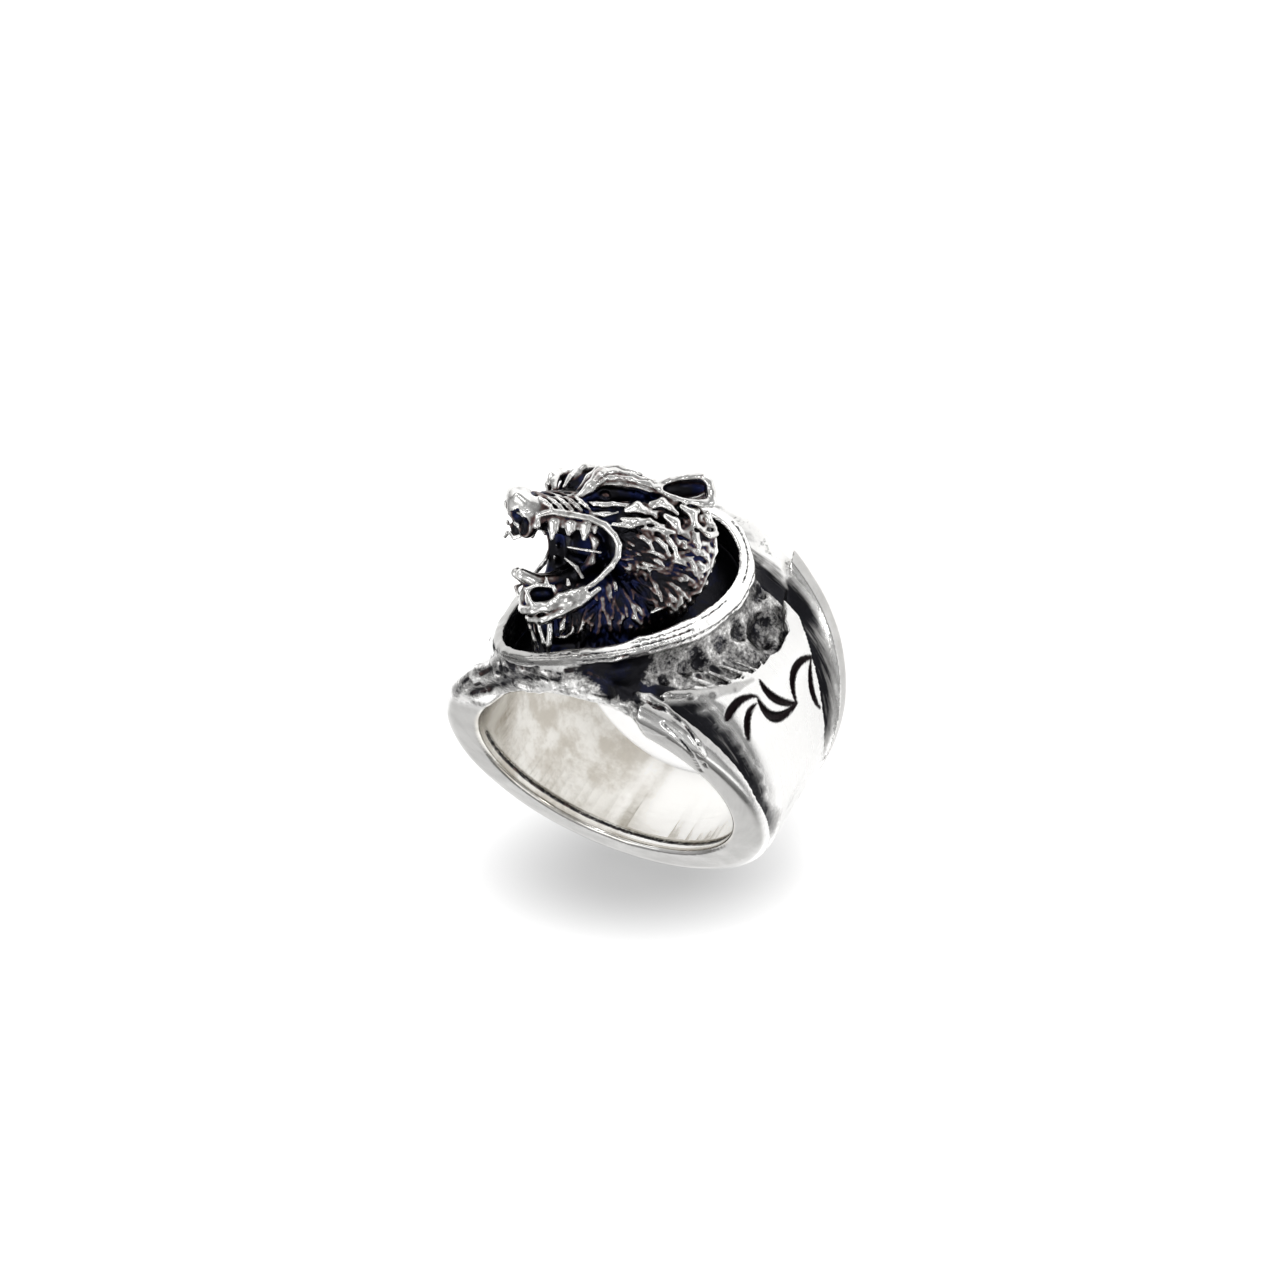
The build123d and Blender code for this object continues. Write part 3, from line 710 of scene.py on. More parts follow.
def head_clay():
    """The whole head with its ruff and neck, down to the floor of the cup."""
    half = Clay(*head_block, head_grain)
    for f, l, u, rf, rl, ru, blend in head_masses:
        half.work(egg((f, l, u), (rf, rl, ru)), blend, join)
    worked(half, head_limbs, join)
    carve_fur(half)
    carve_neck(half)
    carve_cheek(half)
    carve_mouth(half)
    carve_eyes(half)
    carve_nose(half)
    carve_lips(half)
    carve_ears(half)
    whole = mirrored(half)
    carve_far_side(whole)
    rough, fine = (grid_noise(whole, size, seed) for size, seed in head_noise)
    whole.values += 0.035 * rough + 0.008 * fine
    _, (f, l, u) = whole.window()
    axes = head_axes()
    y, z = (f * axes[0, a] + l * axes[1, a] + u * axes[2, a] + head_middle[a] for a in (1, 2))
    floor = np.hypot(y, z) - (cup_radius + seat_gap)
    whole.values = np.maximum(whole.values, -floor)
    return whole


# Band: heights over the finger axis and the forms on them
melt_pits = [
    # x, y, radius, depth
    (-2.8, 9.15, 1.6, 0.8), (-1.0, 7.9, 0.8, 0.3), (6.3, 5.7, 0.5, 0.4), (5.9, 3.4, 1.5, 0.7),
    (3.2, 6.9, 0.9, 0.35), (-5.3, 7.6, 0.6, 0.4), (-7.3, 6.4, 0.8, 0.4), (-4.6, 7.6, 0.5, 0.3),
    (-8.2, 4.0, 1.0, 0.45), (-9.4, 2.4, 0.7, 0.4), (0.9, 7.4, 0.7, 0.3), (4.4, 6.5, 0.6, 0.3),
]

# Edge of the melted ground against the strap
ground_edge = [
    # x, y
    (-12.0, 7.2), (-9.0, 8.1), (-7.5, 8.6), (-5.7, 9.0), (-4.0, 9.9), (-2.5, 10.15), (-0.4, 9.95),
    (1.0, 9.6), (2.2, 9.3), (3.0, 9.1), (4.5, 8.4), (6.0, 7.45), (6.9, 6.85), (8.5, 6.0), (12.0, 5.0),
]

# Claw marks that run from the melted ground into the strap, and the ridges between them.
# Each tapers from one share of its radius to another.
mark_taper = (1.0, 0.3)
ridge_taper = (0.6, 1.0)
claw_marks = [
    # x, y, x, y, radius
    (4.1, 7.4, 3.6, 9.0, 0.4), (2.9, 7.8, 2.1, 9.5, 0.33), (1.8, 8.2, 1.1, 9.7, 0.25),
    (0.9, 8.5, 0.2, 9.8, 0.18),
]
claw_ridges = [
    # x, y, x, y, radius
    (3.5, 7.7, 2.8, 9.5, 0.22), (2.35, 8.0, 1.6, 9.6, 0.18), (1.35, 8.4, 0.65, 9.8, 0.14),
    (4.9, 7.0, 4.5, 8.6, 0.26),
]

# Places in the photo, each from one pixel to another, with a radius in millimetres.
# Pits in the metal in front of the bezel
front_pits = [
    # across, down, across, down, radius
    (507, 664, 515, 669, 0.24), (515, 668, 531, 672, 0.32), (531, 672, 537, 669, 0.22),
    (527, 678, 531, 680, 0.15), (541, 679, 546, 681, 0.18), (551, 681, 557, 682, 0.17),
    (566, 672, 574, 671, 0.2), (578, 671, 588, 667, 0.16), (588, 674, 598, 679, 0.14),
    (480, 674, 490, 669, 0.2), (497, 674, 508, 679, 0.2), (474, 694, 484, 691, 0.2),
    (488, 690, 498, 686, 0.24), (503, 685, 512, 681, 0.2), (462, 683, 468, 679, 0.14),
    (476, 686, 480, 684, 0.16), (545, 672, 550, 673, 0.14), (557, 674, 560, 675, 0.12),
]

# Black places there that aren't cut deeper
dark_patches = [
    # across, down, across, down, radius
    (606, 668, 624, 668, 1.1), (612, 688, 628, 688, 0.8), (628, 657, 640, 653, 0.6),
    (590, 662, 600, 668, 0.4), (640, 692, 668, 693, 0.14),
]

# Painted grey shade there between the bright edges
grey_shade_patches = [
    # across, down, across, down, radius
    (506, 660, 518, 676, 0.1), (518, 676, 540, 677, 0.1), (540, 677, 562, 678, 0.1),
    (562, 678, 592, 670, 0.1), (474, 692, 510, 682, 0.25), (478, 673, 505, 670, 0.15),
    (455, 692, 470, 681, 0.1),
]

# Folds in the leaf of metal at the upper end of the front rail
leaf_folds = [
    # across, down, across, down, radius
    (636, 697, 655, 706, 0.1), (655, 706, 669, 711, 0.17), (669, 711, 684, 723, 0.15),
    (684, 723, 697, 742, 0.1), (697, 742, 706, 766, 0.05), (664, 724, 679, 738, 0.1),
    (679, 738, 692, 754, 0.08), (692, 754, 701, 770, 0.05),
]

# Creases along the bezel's rim: distance out from its middle line, angles round it, height and radius
rim_creases = [
    # out, from, to, height, radius
    (0.5, 15, 70, 13.45, 0.1), (0.28, 50, 100, 13.86, 0.07), (0.5, 80, 150, 13.5, 0.1),
    (-0.05, 70, 125, 13.92, 0.06), (0.15, 140, 185, 13.9, 0.07), (0.5, 160, 200, 13.45, 0.08),
    (0.35, -15, 15, 13.6, 0.07), (0.1, 20, 45, 13.92, 0.06),
]

# Engraved crescents on the strap, each through three or four places and with its half width
crescents = [
    (0.27, [(2.3, 10.55, 6.9), (4.4, 9.95, 7.7), (6.1, 10.2, 7.4), (6.7, 10.8, 6.5)]),
    (0.22, [(2.8, 10.7, 6.6), (4.5, 10.8, 6.4), (5.6, 11.6, 4.95)]),
    (0.24, [(1.1, 10.3, 7.3), (1.0, 11.2, 5.7), (-0.7, 12.0, 3.9)]),
    (0.3, [(2.3, 10.6, 6.8), (2.0, 11.6, 4.9), (-0.7, 12.0, 3.9)]),
    (0.24, [(-0.7, 12.0, 3.9), (-1.5, 11.4, 5.3), (-3.0, 11.3, 5.6), (-4.6, 11.65, 4.8)]),
    (0.2, [(-4.1, 11.6, 4.9), (-2.8, 12.1, 3.4), (-3.0, 12.5, 1.5)]),
]


def half_band_width(z):
    """From the finger axis plane to either flank at a height."""
    return half_width + lean * z


def to_bezel(x, y):
    """Distance outside the bezel's oval centre line, seen from above, and the place along its axis."""
    turn = math.radians(bezel_turn)
    along = (x - bezel_shift) * math.cos(turn) + y * math.sin(turn)
    across = -(x - bezel_shift) * math.sin(turn) + y * math.cos(turn)
    scaled = np.sqrt((along / bezel_half_length) ** 2 + (across / bezel_half_width) ** 2)
    steep = np.sqrt((along / bezel_half_length**2) ** 2 + (across / bezel_half_width**2) ** 2)
    return scaled * (scaled - 1) / np.maximum(steep, 1e-3), along


def strap_edge(x, z):
    """How far a place is in front of the strap's sharp back edge."""
    forward, level = strap_back
    bend_above, bend_below = strap_back_bends
    square = (z - level) ** 2
    edge = forward - bend_above * square * (z > level) - bend_below * square * (z <= level)
    return x - np.maximum(edge, strap_back_limit)


def below_lip(x, side):
    """How far a place is outside the lip that the melted ground leaves on the strap."""
    return side - lip_start[1] - lip_slope * (lip_start[0] - x)


def back_groove(x, z):
    """How far down the channel between back rail and strap goes, and how far along its slope a place is."""
    wide = np.maximum(-strap_edge(-half_band_width(z) + back_rail_width, z), 0.01)
    share = np.clip(-strap_edge(x, z) / wide, 0, 1)
    open_here = smooth(0.15, 1.4, wide) * smooth(*groove_foot, z)
    return open_here, share


def front_groove(x, z):
    """The same for the smooth slope from the strap's crest to the front rail, and where the rail is."""
    wall = half_band_width(z) - front_rail_width - 0.16 * np.maximum(z - 2.0, 0)
    share = np.clip((x - strap_crest) / np.maximum(wall - strap_crest, 0.1), 0, 1)
    open_here = smooth(-7.0, -2.5, z)
    return open_here, share, smooth(0.0, 0.22, x - wall)


def melted(x, y, z, rough):
    """1 over the melted ground round the bezel, 0 over the strap and rails."""
    edge = np.interp(x, *zip(*ground_edge))
    return smooth(0.12, -0.12, y - edge + 0.22 * rough) * (z > 0)


def outer_height(x, y, z, lumps, rough, pitted):
    """Radius of the band's outside over the finger axis."""
    back_open, back_share = back_groove(x, z)
    front_open, front_share, on_rail = front_groove(x, z)
    slope = back_channel_radius + (rail_radius - back_channel_radius) * back_share**1.25
    in_back = smooth(0.0, 0.03, back_share) * back_open
    height = strap_radius * (1 - in_back) + slope * in_back
    height = np.where(back_share >= 1, rail_radius, height)
    dip = front_open * (1 - on_rail) * front_channel_depth * smooth(0.12, 1.0, front_share) ** 1.2
    dip = dip * smooth(-0.1, 0.35, below_lip(x, y))
    height = height - dip + (rail_radius - strap_radius) * on_rail
    heights = (share * noise for share, noise in zip(ground_heights, (lumps, rough, pitted)))
    ground = sum(heights, ground_radius)
    return height + (ground - height) * melted(x, y, z, rough + 0.6 * lumps)


def front_flank(y, z):
    """How far the front face is set back, above the shoulders."""
    return front_inset * smooth(-8.9, -8.0, y) * smooth(5.8, 4.0, y) * smooth(*inset_foot, z)


def claws(rows, first_share, last_share):
    """Limbs from just over the melted ground to just under the strap, on both sides of the ring."""
    low, high = ground_radius + 0.2, strap_radius - 0.15
    forms = []
    for x1, y1, x2, y2, size in rows:
        for side in (-1, 1):
            start = (x1, side * y1, math.sqrt(low**2 - y1**2))
            end = (x2, side * y2, math.sqrt(high**2 - y2**2))
            forms.append(limb(start, end, first_share * size, last_share * size))
    return forms


rim_steps = 9  # places along each crease of the rim


def rim_path(out, start, stop, height):
    """Places along the bezel's rim, at a distance out from its middle line."""
    turn = math.radians(bezel_turn)
    places = []
    for angle in np.radians(np.linspace(start, stop, rim_steps)):
        along = (bezel_half_length + out) * math.cos(angle)
        across = (bezel_half_width + out) * math.sin(angle)
        y = along * math.sin(turn) + across * math.cos(turn)
        x = bezel_shift + along * math.cos(turn) - across * math.sin(turn)
        places.append((x, y, math.sqrt(height**2 - y**2)))
    return places


far_corner_drop = 0.5  # of the far shoulder, behind the front rail


def shape_band(clay):
    """Band with its rails, channels, melted ground and flat flanks."""
    _, (x, y, z) = clay.window()
    lumps, rough, pitted = (grid_noise(clay, size, seed) for size, seed in band_noise)
    radius = np.hypot(y, z)
    side = np.abs(y)
    outside = radius - outer_height(x, side, z, lumps, rough, pitted)
    width = half_band_width(z)
    far_corner = far_corner_drop * smooth(1.0, 4.0, x) * smooth(-6.0, -8.0, y)
    outside = outside + far_corner * smooth(1.0, 1.8, width - x) * smooth(2.0, 5.0, z)
    front = (x - width + front_flank(y, z)) * lean_cos
    back = (-x - width) * lean_cos
    values = rounded_cross(outside, front, front_corner)
    values = rounded_cross(values, back, back_corner)
    clay.values = values.astype(np.float32)
    for form in pit_forms():
        clay.work(form, 0.2, cut)
    clay.values += melted(x, side, z, rough) * (0.15 * rough + 0.09 * pitted)
    for form in claws(claw_marks, *mark_taper):
        clay.work(form, 0.1, cut)
    for form in claws(claw_ridges, *ridge_taper):
        clay.work(form, 0.12, join)
    clay.rough = rough + 0.6 * lumps
    return lumps, rough


def shape_shoulders(clay):
    """Masses of metal between the bezel and the front rail, and the leaf at the rail's upper end."""
    far_mass = [(8.7, -9.4, 7.4), (8.7, -8.0, 8.9), (8.8, -6.2, 10.2)]
    clay.cord(far_mass, [0.5, 0.7, 0.75], 0.5)
    near_mass = egg((8.9, 3.4, 10.8), (0.85, 1.3, 0.8))
    clay.work(near_mass, 0.3, join)
    leaf = [(9.5, 9.9, 7.4), (9.15, 8.7, 8.9), (8.9, 7.7, 9.7),
            (8.8, 6.8, 10.35), (8.75, 5.8, 10.95), (8.95, 5.0, 11.25)]
    clay.cord(leaf, [0.15, 0.25, 0.38, 0.42, 0.36, 0.28], 0.25)


seat_search = (3.0, -7.0, 201)  # from in front of a place to behind it, and how many steps


def seated(clay, places, rise=0.0):
    """The same places moved along the line of sight onto the metal, and raised from it."""
    toward = np.array(camera_toward) @ lay_down
    steps = np.linspace(*seat_search)
    found = []
    for place in places:
        metal = clay.at(np.array(place) + steps[:, None] * toward) < 0
        step = steps[np.argmax(metal)] if metal.any() else 0.0
        found.append(tuple(np.array(place) + (step + rise) * toward))
    return found


def in_photo(across, down):
    """Where the line of sight through a pixel of the photo meets the slope in front of the bezel."""
    pixels = camera_lens / camera_sensor * photo_size
    aim = ((across - photo_size / 2) / pixels, (photo_size / 2 - down) / pixels, -1.0)
    sight = np.array(aim) @ np.array((camera_right, camera_up, camera_toward)) @ lay_down
    start = 1000 * np.array(camera_place) @ lay_down
    outward = np.array((lean_cos, 0.0, -lean_sin))
    reach = (half_width * lean_cos - slope_depth - start @ outward) / (sight @ outward)
    return start + reach * sight


def photo_rods(clay, rows, rise=0.0):
    """Rods on the metal, each between two pixels of the photo."""
    forms = []
    for across1, down1, across2, down2, radius in rows:
        ends = seated(clay, [in_photo(across1, down1), in_photo(across2, down2)], rise * radius)
        forms.append(limb(*ends, radius, radius))
    return forms


def shape_folds(clay):
    """Rolled edges, pits and folds in front of the bezel, and the lip on the strap."""
    bowl_middle = seated(clay, [(10.0, 2.2, 11.6)], 0.5)[0]
    clay.work(egg(bowl_middle, (1.1, 1.5, 1.1)), 0.4, cut)
    apron = [(10.3, -4.65, 12.6), (9.95, -4.5, 10.8), (9.7, -4.15, 10.05), (9.6, -3.4, 9.9),
             (9.7, -2.45, 10.15), (9.95, -1.0, 11.0), (10.3, 0.3, 12.0)]
    clay.cord(seated(clay, apron, 0.06), [0.2, 0.28, 0.3, 0.3, 0.28, 0.22, 0.12], 0.15)
    hollow_edge = [(10.1, 0.5, 11.2), (9.85, 1.8, 10.9), (9.85, 3.1, 11.0),
                   (9.9, 4.2, 11.1), (9.75, 4.9, 11.0)]
    clay.cord(seated(clay, hollow_edge, 0.02), [0.12, 0.16, 0.2, 0.2, 0.2], 0.15)
    clay.folds = photo_rods(clay, front_pits + leaf_folds, 0.3)
    clay.patches = photo_rods(clay, dark_patches)
    clay.greys = photo_rods(clay, grey_shade_patches)
    for form in clay.folds:
        clay.work(form, 0.2, cut)
    lip = [(7.5, 6.75, 10.55), (6.4, 7.7, 9.85), (5.0, 8.7, 9.0), (3.3, 9.45, 8.2), (1.6, 9.95, 7.6)]
    clay.cord(lip, [0.26, 0.3, 0.32, 0.26, 0.1], 0.3)


def shape_bezel(clay, lumps, rough):
    """Wall round the head, its hollow and the beaten rim along its top."""
    part, (x, y, z) = clay.window(*bezel_block)
    lumps, rough = lumps[part], rough[part]
    radius = np.hypot(y, z)
    outside, along = to_bezel(x, y)
    outside = outside + 0.1 * lumps
    wall = np.maximum(np.abs(outside + 0.05) - wall_half, radius - (rim_radius - wall_drop))
    wall = np.maximum(wall, (x - half_band_width(z) + front_inset) * lean_cos)
    values = join(clay.values[part], wall, 0.9)
    hollow = np.maximum(outside + 0.42, cup_radius - radius)
    values = cut(values, hollow, 0.1)
    top = rim_radius - rim_drop + 0.1 * lumps
    wide = 0.26 - 0.12 * smooth(5.5, 9.0, along)
    beside, above = np.abs(outside) - wide, np.abs(radius - top) - rim_half_height
    flat = np.maximum(beside, above)
    corner = np.hypot(np.maximum(beside, 0), np.maximum(above, 0))
    rim = np.where(flat > 0, corner, flat) - rim_rounding + 0.05 * rough
    values = join(values, rim, 0.2)
    clay.values[part] = values
    for out, start, stop, height, size in rim_creases:
        clay.cord(rim_path(out, start, stop, height), [size] * rim_steps, 0.06, cut)


def shape_crescents(clay):
    """Tapered engraved strokes on the strap."""
    for form in crescent_forms():
        clay.work(form, 0.03, cut)


def smooth_path(places, count):
    """Points along a soft curve through the given places."""
    places = np.array(places, float)
    last = len(places) - 1
    curves = [np.polyfit(np.arange(last + 1), places[:, a], last) for a in range(3)]
    return np.stack([np.polyval(curve, np.linspace(0, last, count)) for curve in curves], 1)


stroke_steps = 13
stroke_tip = 0.04  # radius of a stroke at its ends


def crescent_forms():
    """Limbs of every engraved stroke, on both sides of the ring."""
    forms = []
    for width, places in crescents:
        path = smooth_path(places, stroke_steps)
        path *= (strap_radius / np.hypot(path[:, 1], path[:, 2]))[:, None] ** [0, 1, 1]
        radii = stroke_tip + width * np.sin(np.linspace(0, np.pi, stroke_steps)) ** 0.8
        for side in (1, -1):
            forms += limbs_along(path * [1, side, 1], radii)
    return forms


def band_clay():
    """The whole casting apart from the head, and its lumps."""
    clay = Clay(*band_block, band_grain)
    lumps, rough = shape_band(clay)
    shape_shoulders(clay)
    shape_bezel(clay, lumps, rough)
    shape_folds(clay)
    shape_crescents(clay)
    _, (x, y, z) = clay.window()
    radius = np.hypot(y, z)
    clay.values += 0.02 * lumps
    from_step = np.abs(x - half_band_width(z) + bore_step_width)
    step = bore_step_depth * smooth(0.3, 0.0, from_step) * smooth(3.0, 0.0, z)
    clay.values = rounded_cross(clay.values, bore_radius + step - radius, bore_corner).astype(np.float32)
    return clay


# Meshes
def make_piece(name, places, quads, material):
    """Object at the origin from places in the frame, thinned to the most faces allowed."""
    mesh = bpy.data.meshes.new(name)
    mesh.from_pydata(places, [], quads.tolist())
    mesh.update()
    piece = bpy.data.objects.new(name, mesh)
    bpy.context.scene.collection.objects.link(piece)
    faces = 2 * len(quads)
    if faces > most_faces:
        thin = piece.modifiers.new("thin", "DECIMATE")
        thin.ratio = most_faces / faces
        graph = bpy.context.evaluated_depsgraph_get()
        thinned = bpy.data.meshes.new_from_object(piece.evaluated_get(graph))
        piece.modifiers.clear()
        piece.data = thinned
        bpy.data.meshes.remove(mesh)
    piece.data.name = name
    piece.data.shade_smooth()
    piece.data.materials.clear()
    piece.data.materials.append(material)
    return piece


def corners_of(piece):
    """Corner places of a piece in the frame."""
    places = np.empty(len(piece.data.vertices) * 3, np.float32)
    piece.data.vertices.foreach_get("co", places)
    return places.reshape(-1, 3)


def store(piece, name, values):
    """Keep one number or one vector for each corner, for the material to read."""
    kind = "FLOAT" if np.ndim(values) == 1 else "FLOAT_VECTOR"
    layer = piece.data.attributes.new(name, kind, "POINT")
    field = "value" if kind == "FLOAT" else "vector"
    layer.data.foreach_set(field, np.asarray(values, np.float32).ravel())


# Materials
class Output:
    """Output of a node, which can be added to and multiplied like a number."""

    def __init__(self, nodes, socket):
        self.nodes = nodes
        self.socket = socket

    def __add__(self, other):
        return self.nodes.math("ADD", self, other)

    def __sub__(self, other):
        return self.nodes.math("SUBTRACT", self, other)

    def __rsub__(self, other):
        return self.nodes.math("SUBTRACT", other, self)

    def __mul__(self, other):
        return self.nodes.math("MULTIPLY", self, other)


class Nodes:
    """Short way to write a node tree."""

    def __init__(self, name):
        self.material = bpy.data.materials.new(name)
        self.material.use_nodes = True
        self.tree = self.material.node_tree
        self.tree.nodes.clear()
        self.shader = self.tree.nodes.new("ShaderNodeBsdfPrincipled")
        output = self.tree.nodes.new("ShaderNodeOutputMaterial")
        self.tree.links.new(self.shader.outputs[0], output.inputs["Surface"])

    def add(self, kind, output, inputs, **settings):
        """New node with its settings and inputs, and the output that is asked for."""
        node = self.tree.nodes.new(kind)
        for key, value in settings.items():
            setattr(node, key, value)
        for key, value in inputs.items():
            self.feed(node.inputs[key], value)
        return Output(self, node.outputs[output])

    def feed(self, socket, value):
        """Link an output to a socket, or set a plain number or colour on it."""
        if isinstance(value, Output):
            self.tree.links.new(value.socket, socket)
        else:
            socket.default_value = value

    def place(self):
        """Places on the piece in its own coordinates."""
        return self.add("ShaderNodeTexCoord", "Object", {})

    def read(self, name, output="Fac"):
        """Number or vector that is stored on the piece's corners."""
        return self.add("ShaderNodeAttribute", output, {}, attribute_name=name)

    def noise(self, scale, detail, roughness=0.55, place=None):
        """Random value with so many lumps to a metre, unless a place in other units is given."""
        inputs = {"Scale": scale, "Detail": detail, "Roughness": roughness, "Vector": place or self.place()}
        return self.add("ShaderNodeTexNoise", "Fac", inputs)

    def math(self, operation, a, b):
        return self.add("ShaderNodeMath", 0, {0: a, 1: b}, operation=operation)

    def span(self, value, low, high, to_low=0.0, to_high=1.0):
        """Soft step of a value from one span to another."""
        inputs = dict(enumerate((value, low, high, to_low, to_high)))
        return self.add("ShaderNodeMapRange", 0, inputs, interpolation_type="SMOOTHSTEP")

    def mix(self, share, a, b):
        """Colour a where the share is 0 and b where it is 1."""
        return self.add("ShaderNodeMix", "Result", {"Factor": share, "A": a, "B": b}, data_type="RGBA")

    def finish(self, colour, roughness, relief, depth, strength):
        """Metal with these as its colour, roughness and bump."""
        self.feed(self.shader.inputs["Base Color"], colour)
        self.feed(self.shader.inputs["Roughness"], roughness)
        self.shader.inputs["Metallic"].default_value = 1.0
        inputs = {"Distance": depth, "Strength": strength, "Height": relief}
        self.feed(self.shader.inputs["Normal"], self.add("ShaderNodeBump", "Normal", inputs))
        return self.material


bright_silver = (0.93, 0.925, 0.91, 1)
pale_silver = (0.66, 0.655, 0.64, 1)
# Painted shade of the rails, darker
rail_shade_dark = (0.40, 0.395, 0.385, 1)
# Painted shade of the rails, lighter
rail_shade_light = (0.57, 0.565, 0.555, 1)
# Painted warm shade of the bore, lighter
bore_shade_light = (0.70, 0.685, 0.65, 1)
# Painted warm shade of the bore, darker
bore_shade_dark = (0.49, 0.46, 0.41, 1)
grey_silver = (0.30, 0.295, 0.29, 1)
dark_oxide = (0.016, 0.016, 0.019, 1)
blue_oxide = (0.010, 0.014, 0.05, 1)
brown_oxide = (0.12, 0.075, 0.068, 1)
crescent_ink = (0.008, 0.005, 0.006, 1)


def head_metal():
    """Blackened silver with its raised edges rubbed bright."""
    n = Nodes("head_metal")
    fine = n.noise(2000, 4, 0.6)
    broad = n.noise(420, 3, 0.6)
    patches = n.noise(1100, 3, 0.6)
    raised = n.read("raised") + (fine - 0.5) * 0.22
    hollow = n.mix(n.span(broad, 0.45, 0.62), dark_oxide, blue_oxide)
    edge = n.mix(n.span(patches, 0.42, 0.62), pale_silver, bright_silver)
    edge = n.mix(n.span(n.noise(700, 2), 0.58, 0.7, 0.0, 0.6), edge, brown_oxide)
    colour = n.mix(n.span(raised, -0.02, 0.12), hollow, brown_oxide)
    colour = n.mix(n.span(raised, 0.08, 0.2), colour, grey_silver)
    colour = n.mix(n.span(raised, 0.14, 0.34), colour, edge)
    return n.finish(colour, n.span(raised, 0.0, 0.35, 0.34, 0.24), fine, 0.00003, 0.25)


def band_metal():
    """Polished silver, blackened where the casting is rough or hollow, with painted shade on the rails, the
    rim's end, part of the bore and the lower front slope, and painted shadow lines.
    """
    n = Nodes("band_metal")
    fine = n.noise(3600, 4, 0.7)
    patches = n.noise(620, 5, 0.62)
    streaks = n.noise(9.0, 4, 0.6, n.read("brushed", "Vector"))
    oxide, ink, oxide_and_shadow_lines = n.read("oxide"), n.read("ink"), n.read("oxide_and_shadow_lines")
    raised, channel, grey_shading = n.read("raised"), n.read("channel"), n.read("grey_shading")
    cast_grain = (fine - 0.5) * 2.2 + (patches - 0.5) * 2.1
    brush_grain = (streaks - 0.5) * 1.8
    rubbed = raised + (cast_grain * (1.0 - channel) + brush_grain * channel)
    black = n.mix(n.span(patches, 0.5, 0.62, 0.0, 0.45) * (1.0 - channel), dark_oxide, blue_oxide)
    rough_metal = n.mix(n.span(rubbed, -0.35, 0.15), black, grey_silver)
    rough_metal = n.mix(n.span(rubbed, 0.05, 0.6), rough_metal, bright_silver)
    # Painted shade: the rails greyer than the strap, lighter on raised parts and in random patches
    lit = (patches - 0.5) * 1.2 + raised * 1.2
    rail = n.mix(n.span(lit, -0.3, 0.9), rail_shade_dark, rail_shade_light)
    # Painted warm shade over part of the bore, mottled
    bore = n.mix(n.span(n.noise(330, 5, 0.65), 0.38, 0.62), bore_shade_dark, bore_shade_light)
    polished = n.mix(n.read("bore_shade_share"), n.mix(grey_shading, bright_silver, rail), bore)
    colour = n.mix(oxide, polished, rough_metal)
    # Dark oxide in pits, folds and creases, and painted shadow lines under the lip and along the bore's step
    frayed = oxide_and_shadow_lines + (fine - 0.5) * 1.1
    broken = n.span(frayed, 0.35, 0.75) * n.span(streaks, 0.2, 0.45, 0.75, 1.0)
    colour = n.mix(broken, colour, n.mix(n.span(patches, 0.5, 0.7, 0.0, 0.7), dark_oxide, brown_oxide))
    colour = n.mix(ink, colour, crescent_ink)
    roughness = oxide * 0.2 + n.span(streaks, 0.3, 0.75, 0.13, 0.25) + ink * 0.2
    relief = (fine + patches * 3.0) * (oxide + 0.06) + streaks * (channel * 0.3 + 0.03)
    return n.finish(colour, roughness, relief, 0.00004, 0.7)


# Table top, and the painted soft grey shadow on it beside the ring, in metres and degrees
table_white = (0.95, 0.95, 0.95, 1)
table_shadow_grey = (0.5, 0.5, 0.5, 1)
table_glow = 0.55
painted_shadow_place = (-0.0175, 0.004, 0)
painted_shadow_turn = -70.5
painted_shadow_reach = (0.026, 0.011, 1)


def floor_paint():
    """Glossy white table that glows like a light table, with a painted soft grey shadow beside the ring,
    where it is greyer and glows less.
    """
    n = Nodes("floor_paint")
    turn = (0, 0, math.radians(painted_shadow_turn))
    inputs = {"Location": painted_shadow_place, "Rotation": turn, "Scale": painted_shadow_reach, "Vector": n.place()}
    place = n.add("ShaderNodeMapping", "Vector", inputs, vector_type="TEXTURE")
    away = n.add("ShaderNodeVectorMath", "Value", {0: place}, operation="LENGTH")
    # Painted shadow: greyer colour and a dimmer glow inside the ellipse beside the ring
    near = n.span(away, 1.0, 0.1)
    n.feed(n.shader.inputs["Base Color"], n.mix(near, table_white, table_shadow_grey))
    n.feed(n.shader.inputs["Roughness"], n.span(n.noise(14, 2), 0.2, 0.8, 0.16, 0.22))
    n.feed(n.shader.inputs["Emission Color"], n.mix(near, (1, 1, 1, 1), (0.1, 0.1, 0.1, 1)))
    n.shader.inputs["Emission Strength"].default_value = table_glow
    return n.material


# Pieces, and how much each reach counts in what stands out on them
head_bulges = [
    # share, reach
    (0.55, 0.2), (0.6, 0.5), (0.35, 1.0),
]
band_bulges = [
    # share, reach
    (0.5, 0.3), (0.6, 0.9),
]


def stands_out(clay, places, bulges):
    """How far the metal stands out from its surroundings, over several reaches."""
    return sum(share * clay.bulge(places, reach) for share, reach in bulges)


